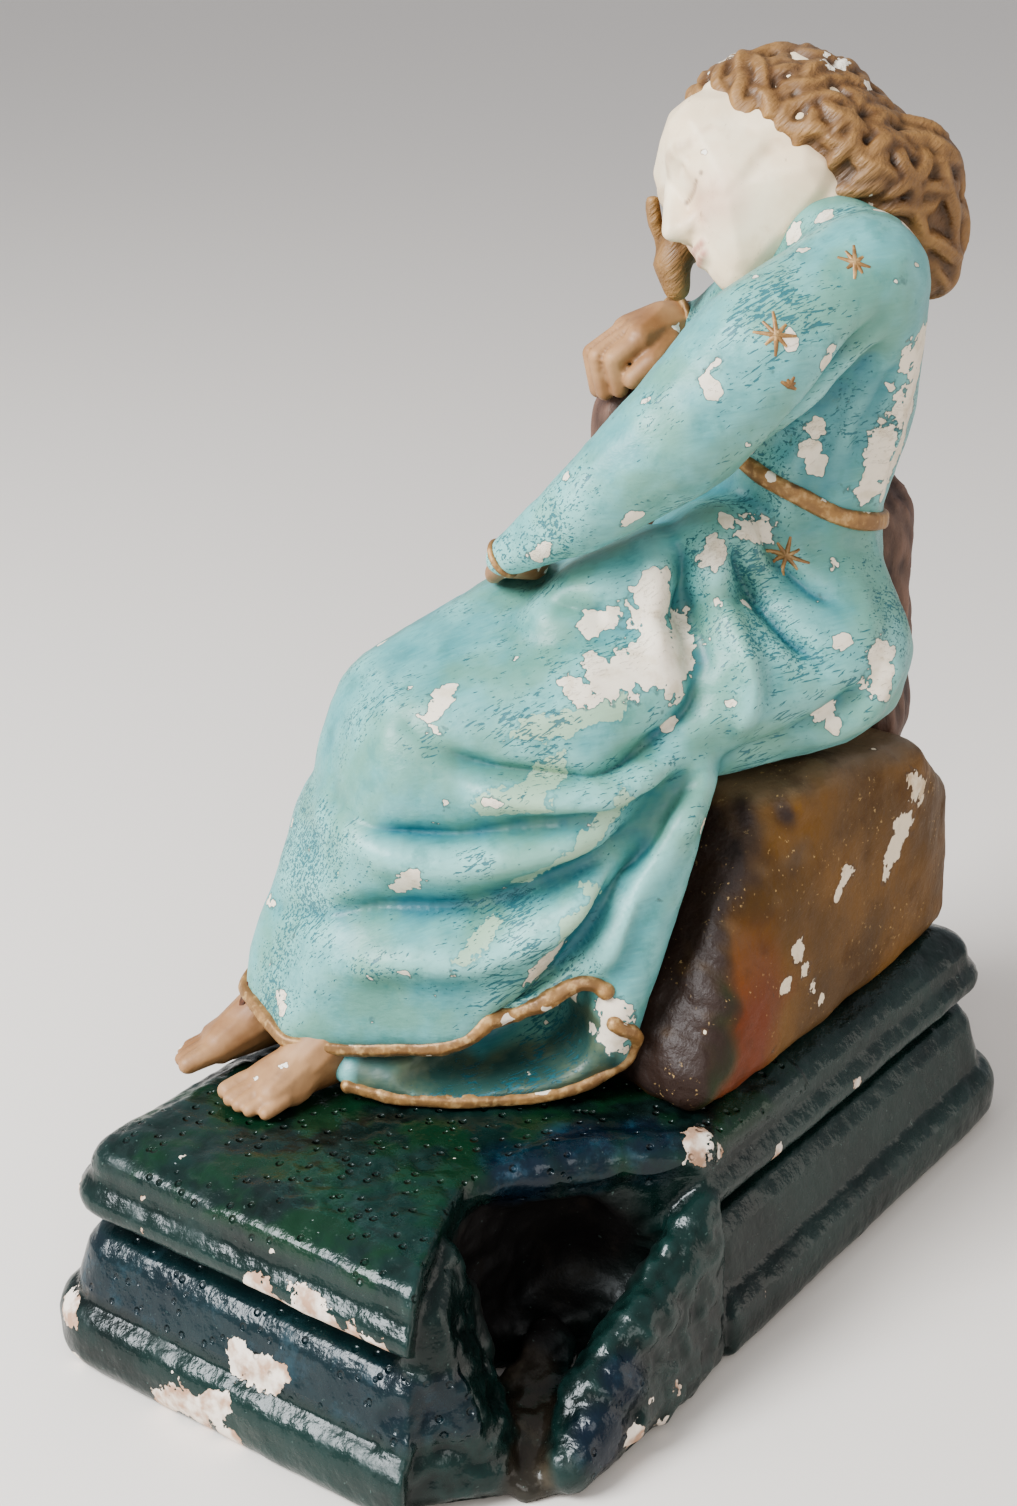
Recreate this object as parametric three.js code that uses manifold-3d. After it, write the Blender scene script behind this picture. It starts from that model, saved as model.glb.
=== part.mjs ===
// Painted plaster figure asleep on a rock, on a moulded plinth with a small grotto at one corner.
// Millimetres, +Z up. The origin is the middle of the plinth's underside; +X runs along the plinth's
// long side, away from the figure's feet.
import * as THREE from 'three';
import { ConvexGeometry } from 'three/addons/geometries/ConvexGeometry.js';
import { mergeVertices } from 'three/addons/utils/BufferGeometryUtils.js';
import Module from 'manifold-3d';

const wasm = await Module();
wasm.setup();

// ---- driving dimensions ----
const plinthLength = 382;
const plinthWidth = 218;
const plinthHeight = 84;
const plinthCorner = 28;         // plan radius of the foot of the plinth
const plinthWall = 13;
const footHeight = 25;           // bottom roll
const slopeTop = 50;             // where the sloping moulding ends
const beadBottom = 58;
const beadTop = 72;
const padInset = 20;             // top pad, in from the foot of the plinth
const grottoLength = 164;        // along the plinth's long side, past the corner
const grottoDepth = 62;          // in from the long side
const rockLength = 206;
const rockWidth = 150;
const rockHeight = 112;          // seat above the plinth
const rockEndSet = 17;           // the rock stands this far in from the plinth's far end
const rockSideSet = 21;          // and this far in from its near side
const rockWall = 16;
const rockEdge = 13;             // rounding of the rock's edges
const figureTurn = THREE.MathUtils.degToRad(145);
const pelvisX = 81;
const pelvisY = -45;
const hipRadius = 38;
const hipSpread = 24;
const thighLength = 152;
const kneeRadius = 27;
const shinLean = 52;             // the ankles stand this far in front of the knees
const torsoRise = 90;            // from the hips to the middle of the chest
const chestRadius = 37;
const shoulderSpread = 34;
const upperArm = 76;
const foreArm = 80;
const sleeveRadius = 21;
const headRadius = 41;
const neckRadius = 20;
const hairThickness = 11;
const footLength = 44;
const hemRadius = 5.5;
const beltWidth = 9;
const rodRadius = 3;
const pinRadius = 2;
const gap = 0.4;                 // between pieces that touch

// ---- heights worked out from them ----
const ground = plinthHeight + 4;
const seat = plinthHeight + rockHeight;
const hipZ = seat + hipRadius + 2;
const chestZ = hipZ + torsoRise;
const kneeA = thighLength;
const kneeZ = hipZ - 20;
const ankleA = kneeA + shinLean;

// ---- solids ----
function solid(geometry) {
  const bare = geometry.clone();
  bare.deleteAttribute('normal');
  bare.deleteAttribute('uv');
  const merged = mergeVertices(bare, 1e-4);
  return new wasm.Manifold(new wasm.Mesh({
    numProp: 3,
    vertProperties: new Float32Array(merged.attributes.position.array),
    triVerts: new Uint32Array(merged.index.array),
  }));
}

// A ball's surface points, coarse but enough for a hull's rounding.
function ballPoints([x, y, z, r], grow) {
  const sphere = new THREE.SphereGeometry(r + grow, 8, 5);
  const points = [];
  for (let i = 0; i < sphere.attributes.position.count; i += 1) {
    const p = new THREE.Vector3().fromBufferAttribute(sphere.attributes.position, i);
    points.push(new THREE.Vector3(x + p.x, y + p.z, z + p.y));
  }
  return points;
}

// The convex skin round some balls.
function hull(balls, grow = 0) {
  return solid(new ConvexGeometry(balls.flatMap((ball) => ballPoints(ball, grow))));
}

function union(parts) {
  return parts.reduce((all, part) => all.add(part));
}

// Hulls of neighbouring balls, joined: a limb, a roll or a lock of hair.
function chain(balls, grow = 0) {
  return union(balls.slice(1).map((ball, i) => hull([balls[i], ball], grow)));
}

function rod(from, to, radius, grow = 0) {
  const start = new THREE.Vector3(...from);
  const end = new THREE.Vector3(...to);
  const along = end.clone().sub(start);
  const cylinder = new THREE.CylinderGeometry(radius + grow, radius + grow, along.length() + 2 * grow, 8);
  const turn = new THREE.Quaternion().setFromUnitVectors(
    new THREE.Vector3(0, 1, 0), along.clone().normalize());
  cylinder.applyQuaternion(turn);
  cylinder.translate(...start.add(end).multiplyScalar(0.5).toArray());
  return solid(cylinder);
}

function block(low, high, grow = 0) {
  const size = high.map((v, i) => v - low[i] + 2 * grow);
  const box = new THREE.BoxGeometry(...size);
  box.translate(...high.map((v, i) => (v + low[i]) / 2));
  return solid(box);
}

// A rounded rectangle in plan, set in from the foot of the plinth.
function planRing(inset, z) {
  const radius = Math.max(plinthCorner - inset, 6);
  const points = [];
  for (const [sx, sy, start] of [[1, 1, 0], [-1, 1, 90], [-1, -1, 180], [1, -1, 270]]) {
    const cx = sx * (plinthLength / 2 - inset - radius);
    const cy = sy * (plinthWidth / 2 - inset - radius);
    for (let k = 0; k <= 4; k += 1) {
      const angle = THREE.MathUtils.degToRad(start + k * 22.5);
      points.push(new THREE.Vector3(cx + radius * Math.cos(angle), cy + radius * Math.sin(angle), z));
    }
  }
  return points;
}

function band(insetLow, zLow, insetHigh, zHigh) {
  return solid(new ConvexGeometry([...planRing(insetLow, zLow), ...planRing(insetHigh, zHigh)]));
}

function largest(manifold) {
  return manifold.decompose().reduce((a, b) => (a.volume() > b.volume() ? a : b));
}

// ---- pieces: each outline can be grown, so that a later piece is cut to clear it by the gap ----
const pieces = [];

function piece(name, look, frame, outline) {
  pieces.push({ name, look, frame, outline });
}

const figureMatrix = new THREE.Matrix4().makeRotationZ(figureTurn).setPosition(pelvisX, pelvisY, 0);
const figureInverse = figureMatrix.clone().invert();

function toFrame(manifold, from, to) {
  if (from === to) return manifold;
  return manifold.transform((to === 'figure' ? figureInverse : figureMatrix).elements);
}

function moved([x, y, z], [dx, dy, dz], radius) {
  return radius === undefined ? [x + dx, y + dy, z + dz] : [x + dx, y + dy, z + dz, radius];
}

// ---- places on the figure: forward, to its left, up, radius ----
const hipLeft = [-2, hipSpread, hipZ, hipRadius];
const hipRight = [-2, -hipSpread, hipZ, hipRadius];
const belly = [2, 0, hipZ + 32, hipRadius - 3];
const waist = [-2, 0, hipZ + 52, chestRadius - 6];
const chest = [-6, 1, chestZ, chestRadius];
const chestTop = [-8, -4, chestZ + 36, chestRadius - 13];
const kneeLeft = [kneeA, 15, kneeZ, kneeRadius];
const kneeRight = [kneeA, -22, kneeZ + 2, kneeRadius];
const thighRight = [kneeA - 44, -20, kneeZ + 12, kneeRadius + 6];
const shoulderLeft = [-11, shoulderSpread - 4, chestZ + 51, sleeveRadius + 1];
const shoulderRight = [-8, -shoulderSpread - 10, chestZ + 28, sleeveRadius];
const elbowLeft = moved(shoulderLeft, [0.91 * upperArm, 7, -0.66 * upperArm], sleeveRadius - 3);
const wristLeft = moved(elbowLeft, [0.75 * foreArm, -29, -0.58 * foreArm], 7);
const elbowRight = moved(shoulderRight, [16, -38, -32], sleeveRadius - 3);
const wristRight = moved(elbowRight, [18, 10, 20], 9);
const headCentre = [-4, -28, chestZ + 77];
const ankleLeft = [ankleA, 21, ground + 18, 12];
const ankleRight = [ankleA + 14, -4, ground + 20, 12];
const toesLeft = moved(ankleLeft, [footLength * 0.5, 6, -11.5], 6);
const toesRight = moved(ankleRight, [footLength * 0.5, 7, -13.5], 6);
const hemFront = [ankleA + 8, -4, ground + 24, hemRadius];
const hemFar = [ankleA - 14, -28, ground + 20, hemRadius];
const hemNear = [ankleA - 24, 44, ground + 19, hemRadius];
const hemRise = [ankleA - 52, 60, ground + 25, hemRadius];
const hemPeak = [ankleA - 88, 66, ground + 48, hemRadius];
const pipeTop = [44, 50, seat + 6, 13];
const pipeFoot = [ankleA - 106, 70, ground + 32, 12];
const trainNear = [ankleA - 76, 68, ground + 8, hemRadius];
const trainBend = [ankleA - 98, 70, ground + 16, hemRadius];
const trainMiddle = [ankleA - 48, 58, ground + 7, hemRadius];
const trainFront = [ankleA - 14, 38, ground + 8, hemRadius];
const underGown = [ankleA - 60, 14, ground + 14, 12];

// ---- metal and wood inside the figure ----
piece('armature_rod', 'iron', 'figure', (g) => rod([-2, 0, seat - 34], [-8, -3, chestZ + 20], rodRadius, g));
piece('neck_dowel', 'wood', 'figure', (g) => rod([-8, -5, chestZ + 30],
  moved(headCentre, [-4, 6, -6]), rodRadius, g));
piece('left_arm_wire', 'iron', 'figure', (g) => rod([-12, 16, chestZ + 36],
  moved(elbowLeft, [-30, -1, 21]), pinRadius, g));
piece('right_arm_wire', 'iron', 'figure', (g) => rod([-8, -18, chestZ + 22],
  moved(elbowRight, [-6, 14, 10]), pinRadius, g));
piece('left_wrist_pin', 'iron', 'figure', (g) => rod(moved(wristLeft, [-16, 7, 12]),
  moved(wristLeft, [9, -8, -6]), pinRadius, g));
piece('right_wrist_pin', 'iron', 'figure', (g) => rod(moved(wristRight, [-9, -5, -10]),
  moved(wristRight, [12, 3, 3]), pinRadius, g));
for (const [side, ankle] of [['left', ankleLeft], ['right', ankleRight]]) {
  piece(`${side}_ankle_pin`, 'iron', 'figure', (g) => rod(moved(ankle, [-12, -3, 24]),
    moved(ankle, [2, 0, -6]), pinRadius, g));
}

// ---- plinth: one hollow casting, open below, and open above into the rock ----
const hollowTop = plinthHeight - plinthWall;
const hollowInset = padInset + plinthWall;
const hollowSplay = 14;
const rockFrontX = plinthLength / 2 - rockEndSet - rockLength;
const rockNearY = -plinthWidth / 2 + rockSideSet;
const rockHollow = {
  low: [rockFrontX + rockWall + 14, rockNearY + rockWall + 6],
  high: [rockFrontX + rockLength - rockWall - 26, rockNearY + rockWidth - rockWall - 6],
};
const grottoX = -plinthLength / 2 + 66;
const grottoY = -plinthWidth / 2 + 3;

function grottoCut(grow) {
  const bore = new THREE.CylinderGeometry(1, 1, plinthHeight + 40, 24);
  bore.rotateX(Math.PI / 2);
  bore.scale(grottoLength / 2 - grow, grottoDepth - grow, 1);
  bore.translate(grottoX, grottoY, plinthHeight / 2 - 6);
  return solid(bore);
}

function plinthMouldings(grow) {
  const bands = [
    [5, 0, 1, 4],
    [1, 3.9, 0, footHeight - 8],
    [0, footHeight - 8.1, 5, footHeight],
    [4.5, footHeight - 0.1, padInset - 6, slopeTop - 8],
    [padInset - 6, slopeTop - 8.1, padInset - 4, slopeTop],
    [padInset, slopeTop - 0.1, padInset, beadBottom],
    [padInset - 5, beadBottom - 2, padInset - 9, beadBottom + 4],
    [padInset - 9, beadBottom + 3.9, padInset - 9, beadTop - 4],
    [padInset - 9, beadTop - 4.1, padInset - 4, beadTop],
    [padInset - 3, beadTop - 0.1, padInset - 2, plinthHeight - 5],
    [padInset - 2, plinthHeight - 5.1, padInset + 3, plinthHeight],
  ];
  return union(bands.map(([low, zLow, high, zHigh]) =>
    band(low - grow, zLow - grow, high - grow, zHigh + grow)));
}

piece('plinth_shell', 'green_plaster', 'plinth', (g) => {
  const hollow = band(hollowInset - hollowSplay + g, -1 - g, hollowInset + g, hollowTop - g);
  const intoRock = block([...rockHollow.low, hollowTop - 1], [...rockHollow.high, plinthHeight + 1], -g);
  return plinthMouldings(g).subtract(hollow).subtract(intoRock).subtract(grottoCut(g));
});

// Two laths across the hollow, with a wad of scrim and plaster holding each end.
const lathThickness = 8;
const lathReach = plinthWidth / 2 - hollowInset - 4;
const frontLathX = grottoX + grottoLength / 2 + 28;
const rearLathX = plinthLength / 3.2;
for (const [name, x] of [['front_lath', frontLathX], ['rear_lath', rearLathX]]) {
  const top = hollowTop - 12;
  piece(name, 'wood', 'plinth', (g) => block([x - 11, -lathReach, top - lathThickness],
    [x + 11, lathReach, top], g));
  for (const [end, side] of [['near', -1], ['far', 1]]) {
    piece(`${name}_${end}_wad`, 'scrim', 'plinth', (g) => hull([
      [x - 8, side * lathReach, top, 12], [x + 8, side * lathReach, top, 12],
      [x, side * (lathReach - 12), top - 4, 9]], g));
  }
}

// ---- grotto: two piers, a back wall, a sloping floor and a rough lip over the cave ----
// Places in the grotto: along the long side as a share of its half length, and in from the side
// as a share of its depth.
function inGrotto(along, inward, z, radius) {
  return [grottoX + along * grottoLength / 2, grottoY + inward * grottoDepth, z, radius];
}
const pierTop = plinthHeight - 22;
piece('grotto_left_pier', 'green_plaster', 'plinth', (g) => hull([
  inGrotto(-0.5, 0.92, 15, 15), inGrotto(-0.36, 0.6, 13, 13),
  inGrotto(-0.2, 0.98, pierTop, 12), inGrotto(-0.18, 0.74, pierTop - 24, 11)], g));
piece('grotto_right_pier', 'green_plaster', 'plinth', (g) => hull([
  inGrotto(-0.06, 0.2, 12, 12), inGrotto(0.82, 0.2, 13, 13),
  inGrotto(0.84, 0.2, pierTop - 10, 12), inGrotto(0.48, 0.3, pierTop - 28, 11)], g));
piece('grotto_back', 'cave_plaster', 'plinth', (g) => {
  const posts = [inGrotto(-0.32, 1.04, 0, 9), inGrotto(0.18, 1.08, 0, 9), inGrotto(0.7, 0.82, 0, 9),
    inGrotto(0.94, 0.44, 0, 9)];
  const post = ([x, y, , r]) => [[x, y, r + 1, r], [x, y, pierTop + 3, r]];
  return union(posts.slice(1).map((one, i) => hull([...post(posts[i]), ...post(one)], g)));
});
piece('grotto_ramp', 'cave_plaster', 'plinth', (g) => hull([
  inGrotto(-0.2, 0.26, 5, 5), inGrotto(-0.02, 0.16, 5, 5),
  inGrotto(0.06, 0.8, 16, 9), inGrotto(0.4, 0.66, 14, 9)], g));
piece('grotto_lip', 'moss_plaster', 'plinth', (g) => chain([
  inGrotto(0.04, 1.04, plinthHeight - 7, 8), inGrotto(0.4, 0.86, plinthHeight - 6, 9),
  inGrotto(0.7, 0.54, plinthHeight - 6, 9), inGrotto(0.94, 0.3, plinthHeight - 7, 8)], g));

// ---- rock seat: hollow, open into the plinth ----
const nearY = rockNearY + rockEdge;
const farY = nearY + rockWidth - 2 * rockEdge;
const frontX = rockFrontX + rockEdge;
const endX = frontX + rockLength - 2 * rockEdge;
const rockFoot = plinthHeight + gap + rockEdge;
const rockTop = seat - rockEdge;
piece('rock_seat', 'ochre_rock', 'plinth', (g) => {
  const mass = hull([
    [frontX, nearY, rockFoot, rockEdge], [endX, nearY, rockFoot, rockEdge],
    [frontX + 4, farY, rockFoot, rockEdge], [endX - 4, farY, rockFoot, rockEdge],
    [frontX + 8, nearY + 6, rockTop - 6, rockEdge], [endX - 44, nearY + 4, rockTop, rockEdge],
    [endX - 14, nearY + 4, rockTop - 28, rockEdge], [endX - 22, farY - 8, rockTop - 12, rockEdge],
    [frontX + 16, farY - 10, rockTop - 4, rockEdge]], g);
  const hollow = block([...rockHollow.low, plinthHeight - 1], [...rockHollow.high, seat - rockWall - 18], -g);
  return mass.subtract(hollow);
});

// ---- mossy ground in front of the rock ----
piece('moss_ground', 'moss_plaster', 'plinth', (g) => {
  const slab = band(padInset + 4 - g, plinthHeight + gap - g, padInset + 9 - g, ground + g);
  const front = block([-plinthLength / 2, -plinthWidth / 2, plinthHeight - 5],
    [rockFrontX + 30, plinthWidth / 2, ground + 5], g);
  return slab.intersect(front).subtract(grottoCut(g));
});

// ---- feet and hands ----
for (const [side, ankle, toes] of [['right', ankleRight, toesRight], ['left', ankleLeft, toesLeft]]) {
  const ball = moved(toes, [-8, 0, 2], 8);
  piece(`${side}_foot`, 'flesh', 'figure', (g) => union([
    hull([ankle, ball, [ankle[0] - 4, ankle[1], ground + 8, 7]], g),
    hull([ball, moved(toes, [0, -5, 0], 6), moved(toes, [-4, 6, -0.5], 5.5)], g)]));
}
const leftPalm = moved(wristLeft, [9, -18, -10], 8);
piece('left_hand', 'flesh', 'figure', (g) => union([
  hull([moved(wristLeft, [2, -2, -1], 6), leftPalm], g),
  hull([leftPalm, moved(wristLeft, [12, -38, -22], 5), moved(wristLeft, [20, -30, -20], 5)], g)]));
const rightPalm = moved(wristRight, [22, 4, 4], 9);
piece('right_hand', 'flesh', 'figure', (g) => union([
  hull([moved(wristRight, [2, 0, 1], 7), rightPalm], g),
  hull([rightPalm, moved(rightPalm, [11, 2, -14], 6), moved(rightPalm, [8, 12, -12], 5)], g)]));

// ---- head ----
const cheek = moved(headCentre, [12, 2, 2], headRadius - 12);
piece('head', 'flesh', 'figure', (g) => union([
  hull([moved(headCentre, [-6, 0, 2], headRadius - 3), cheek], g),
  hull([cheek, moved(headCentre, [26, 9, -20], 16), moved(headCentre, [4, 8, -16], 22)], g),
  hull([moved(headCentre, [38, 4, -2], 6), moved(headCentre, [43, 7, -13], 4)], g)]));
// The hairline is a plane that falls from the brow to the nape.
const hairline = THREE.MathUtils.degToRad(64);
const hairlineRise = 9;
piece('hair_cap', 'hair_gilt', 'figure', (g) => {
  const crown = hull([
    moved(headCentre, [-8, -2, 2], headRadius + hairThickness - 5),
    moved(headCentre, [-26, 4, -2], headRadius - 5)], g);
  const face = new THREE.BoxGeometry(160, 200, 160);
  face.rotateY(hairline);
  const away = 80 - hairlineRise + g;
  face.translate(headCentre[0] + Math.cos(hairline) * away, headCentre[1],
    headCentre[2] - Math.sin(hairline) * away);
  const nape = hull([moved(headCentre, [-42, 2, 2], 15), moved(headCentre, [-48, 6, -20], 11),
    moved(headCentre, [-40, -16, -8], 15)], g);
  return crown.subtract(solid(face)).add(nape);
});
piece('side_curls', 'hair_gilt', 'figure', (g) => chain([
  moved(headCentre, [20, -34, -14], 9), moved(headCentre, [26, -30, -34], 9),
  moved(headCentre, [20, -24, -48], 6)], g));
piece('neck', 'flesh', 'figure', (g) => hull([[-8, -4, chestZ + 48, neckRadius],
  moved(headCentre, [-12, 8, -16], neckRadius), [-2, 2, chestZ + 42, neckRadius - 2]], g));

// ---- gilt edges ----
piece('left_cuff', 'gilt', 'figure', (g) => chain([moved(wristLeft, [-2, 1, 1], wristLeft[3] + 1),
  moved(wristLeft, [1, -1, -1], wristLeft[3] + 0.5)], g));
piece('right_cuff', 'gilt', 'figure', (g) => chain([moved(wristRight, [-2, -1, -2], wristRight[3] + 1.5),
  moved(wristRight, [1, 0.5, 0.5], wristRight[3] + 1)], g));
piece('upper_hem', 'gilt', 'figure', (g) => chain([hemFar, hemFront, hemNear, hemRise, hemPeak], g));
piece('lower_hem', 'gilt', 'figure', (g) => chain([moved(pipeFoot, [2, 4, -2], hemRadius), trainBend,
  trainNear, trainMiddle, trainFront], g));

const beltTilt = THREE.MathUtils.degToRad(14);
function beltRing(radius, width) {
  const ring = new THREE.CylinderGeometry(radius, radius, width, 20);
  ring.rotateX(Math.PI / 2);
  ring.scale(1, 1.12, 1);
  ring.rotateY(-beltTilt);
  ring.translate(waist[0], waist[1], waist[2] - 2);
  return solid(ring);
}
piece('belt', 'gilt', 'figure', (g) => beltRing(waist[3] + 4 + g, beltWidth + 2 * g)
  .subtract(beltRing(waist[3] - 5 - g, beltWidth + 4)));

// ---- gown ----
piece('left_sleeve', 'turquoise', 'figure', (g) => chain([shoulderLeft, elbowLeft, wristLeft], g));
piece('right_sleeve', 'turquoise', 'figure', (g) => chain([shoulderRight, elbowRight, wristRight], g));
piece('gown_bodice', 'turquoise', 'figure', (g) => union([hull([waist, chest], g),
  hull([chest, chestTop, moved(shoulderLeft, [0, -6, 0], shoulderLeft[3]),
    moved(shoulderRight, [0, 6, 0], shoulderRight[3])], g)]));
const hipSide = [20, 46, seat + 18, 18];
const thighSide = [60, 44, seat + 20, 20];
piece('gown_skirt', 'turquoise', 'figure', (g) => union([
  hull([hipLeft, hipRight, belly], g),
  hull([hipLeft, hipRight, kneeLeft, kneeRight], g),
  hull([hipRight, thighRight, kneeRight], g),
  hull([kneeLeft, kneeRight, hemFront, hemFar, hemNear], g),
  hull([kneeLeft, hemNear, hemRise, hemPeak, thighSide], g),
  hull([hipSide, thighSide, pipeTop, pipeFoot, hemPeak], g)]));
piece('gown_train', 'turquoise', 'figure', (g) => union([
  hull([trainFront, trainMiddle, trainNear, underGown, moved(underGown, [30, -8, 0], 12)], g),
  hull([trainMiddle, trainNear, trainBend, underGown, [ankleA - 100, 44, ground + 30, 14]], g)]));

// ---- rock that the figure leans on ----
const stumpTop = chestZ - 16;
const stumpMiddle = [-30, -72, seat - 12, 26];
const stumpHead = [-8, -80, stumpTop - 8, 19];
piece('rock_stump', 'brown_rock', 'figure', (g) => union([
  hull([[30, -76, seat - 12, 28], stumpMiddle, [28, -78, stumpTop, 17], stumpHead], g),
  hull([stumpMiddle, stumpHead, [-56, -40, stumpTop - 42, 18], [-52, -34, seat - 10, 22]], g)]));

// ---- looks ----
const looks = {
  green_plaster: [0x16302c, 0.35, 0], moss_plaster: [0x18281c, 0.4, 0], cave_plaster: [0x0c0d0e, 0.6, 0],
  ochre_rock: [0x8a6434, 0.55, 0], brown_rock: [0x4c3629, 0.6, 0], turquoise: [0x7cc6c6, 0.45, 0],
  gilt: [0x8b6534, 0.5, 0.1], flesh: [0xdcc4a4, 0.45, 0], hair_gilt: [0x7d5a30, 0.5, 0.1],
  iron: [0x50504e, 0.6, 1], wood: [0xb08d5c, 0.8, 0], scrim: [0xd8cfb8, 0.95, 0],
};
const materials = Object.fromEntries(Object.entries(looks).map(([name, [color, roughness, metalness]]) =>
  [name, new THREE.MeshStandardMaterial({ name, color, roughness, metalness })]));

// ---- assembly ----
const statue = new THREE.Group();
const figure = new THREE.Group();
figure.position.set(pelvisX, pelvisY, 0);
figure.rotation.z = figureTurn;
statue.add(figure);

function boxesMeet(one, other) {
  const [p, q] = [one.boundingBox(), other.boundingBox()];
  return [0, 1, 2].every((i) => p.min[i] < q.max[i] && q.min[i] < p.max[i]);
}

for (const [index, { name, look, frame, outline }] of pieces.entries()) {
  let body = outline(0);
  for (const earlier of pieces.slice(0, index)) {
    const neighbour = toFrame(earlier.outline(gap), earlier.frame, frame);
    if (boxesMeet(body, neighbour)) body = body.subtract(neighbour);
  }
  const { vertProperties, triVerts } = largest(body).getMesh();
  const geometry = new THREE.BufferGeometry();
  geometry.setAttribute('position', new THREE.BufferAttribute(vertProperties, 3));
  geometry.setIndex(new THREE.BufferAttribute(triVerts, 1));
  const mesh = new THREE.Mesh(geometry, materials[look]);
  mesh.name = name;
  (frame === 'figure' ? figure : statue).add(mesh);
}

export default statue;
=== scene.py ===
import math
import random

import bmesh
import bpy
import numpy as np
from mathutils import Matrix, Vector, noise
from mathutils.bvhtree import BVHTree


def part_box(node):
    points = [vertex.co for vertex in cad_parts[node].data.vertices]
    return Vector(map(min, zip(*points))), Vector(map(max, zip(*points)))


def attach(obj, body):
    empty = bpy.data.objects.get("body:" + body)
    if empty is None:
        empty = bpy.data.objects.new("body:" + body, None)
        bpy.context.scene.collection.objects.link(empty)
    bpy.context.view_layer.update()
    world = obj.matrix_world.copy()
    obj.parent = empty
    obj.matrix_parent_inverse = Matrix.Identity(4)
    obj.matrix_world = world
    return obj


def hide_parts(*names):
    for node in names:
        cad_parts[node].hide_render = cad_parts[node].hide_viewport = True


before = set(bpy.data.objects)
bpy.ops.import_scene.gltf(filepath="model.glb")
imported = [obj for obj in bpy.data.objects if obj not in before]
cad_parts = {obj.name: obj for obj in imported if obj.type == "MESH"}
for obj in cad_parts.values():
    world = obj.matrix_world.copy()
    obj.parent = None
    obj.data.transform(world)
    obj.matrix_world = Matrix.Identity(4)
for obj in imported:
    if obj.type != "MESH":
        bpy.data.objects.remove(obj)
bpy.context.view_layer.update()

MM = 0.001

# ---- the figure's own frame: forward, to its left, up, in millimetres ----
TURN = math.radians(145)
PELVIS = Vector((81, -45, 0))
FORWARD = Vector((math.cos(TURN), math.sin(TURN), 0))
LEFT = Vector((-math.sin(TURN), math.cos(TURN), 0))
UP = Vector((0, 0, 1))

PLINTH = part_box("plinth_shell")
HALF_LENGTH = PLINTH[1].x / MM
HALF_WIDTH = PLINTH[1].y / MM
PLINTH_TOP = PLINTH[1].z / MM
GROUND = PLINTH_TOP + 4
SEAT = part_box("rock_seat")[1].z / MM


def at(forward, left, up):
    """A place on the figure, in metres."""
    return (PELVIS + FORWARD * forward + LEFT * left + UP * up) * MM


def on_plinth(x, y, z):
    """A place measured from the middle of the plinth, in metres."""
    return Vector((x, y, z)) * MM


# ---- the head's frame: forward, left and up of a head that sleeps on its right shoulder ----
HEAD = (-4, -33, 403)
HEAD_UP = Vector((0.10, -0.68, 0.72)).normalized()
HEAD_FORWARD = Vector((0.95, 0.04, -0.30))
HEAD_FORWARD = (HEAD_FORWARD - HEAD_UP * HEAD_FORWARD.dot(HEAD_UP)).normalized()
HEAD_LEFT = HEAD_UP.cross(HEAD_FORWARD)


def on_head(forward, left, up):
    """A place on the head, in metres."""
    local = Vector(HEAD) + HEAD_FORWARD * forward + HEAD_LEFT * left + HEAD_UP * up
    return at(*local)


# ---- mesh tools ----
def hulled_into(bm, part):
    """Wrap one bmesh in its hull, and add it to another."""
    bmesh.ops.convex_hull(part, input=part.verts[:])
    bmesh.ops.delete(part, geom=[vert for vert in part.verts if not vert.link_faces], context="VERTS")
    held = bpy.data.meshes.new("hull")
    part.to_mesh(held)
    part.free()
    bm.from_mesh(held)
    bpy.data.meshes.remove(held)


def add_hull(bm, balls, place):
    """The convex skin round some balls, each given as three places and a radius."""
    part = bmesh.new()
    for *spot, radius in balls:
        bmesh.ops.create_icosphere(part, subdivisions=2, radius=radius * MM,
                                   matrix=Matrix.Translation(place(*spot)))
    bmesh.ops.delete(part, geom=part.edges[:], context="EDGES_FACES")
    hulled_into(bm, part)


def add_chain(bm, balls, place):
    """Hulls of neighbouring balls: a limb, a finger or a lock."""
    for first, second in zip(balls, balls[1:]):
        add_hull(bm, [first, second], place)


def add_strands(bm, paths):
    """Round tapering strands: each path is a list of (place in metres, radius in millimetres)."""
    curve = bpy.data.curves.new("strands", "CURVE")
    curve.dimensions = "3D"
    curve.bevel_depth = 1.0
    curve.bevel_resolution = 1
    curve.use_fill_caps = True
    for path in paths:
        spline = curve.splines.new("POLY")
        spline.points.add(len(path) - 1)
        for point, (place, radius) in zip(spline.points, path):
            point.co = (*place, 1)
            point.radius = radius * MM
    held = bpy.data.objects.new("strands", curve)
    bpy.context.scene.collection.objects.link(held)
    bpy.context.view_layer.update()
    mesh = bpy.data.meshes.new_from_object(held.evaluated_get(bpy.context.evaluated_depsgraph_get()))
    bm.from_mesh(mesh)
    bpy.data.meshes.remove(mesh)
    bpy.data.objects.remove(held)
    bpy.data.curves.remove(curve)


def as_object(name, bm):
    mesh = bpy.data.meshes.new(name)
    bm.to_mesh(mesh)
    bm.free()
    made = bpy.data.objects.new(name, mesh)
    bpy.context.scene.collection.objects.link(made)
    return made


def applied(piece):
    """The piece with its modifiers worked into its mesh."""
    bpy.context.view_layer.update()
    shaped = piece.evaluated_get(bpy.context.evaluated_depsgraph_get())
    mesh = bpy.data.meshes.new_from_object(shaped)
    piece.modifiers.clear()
    old = piece.data
    piece.data = mesh
    bpy.data.meshes.remove(old)
    mesh.name = piece.name
    return piece


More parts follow.
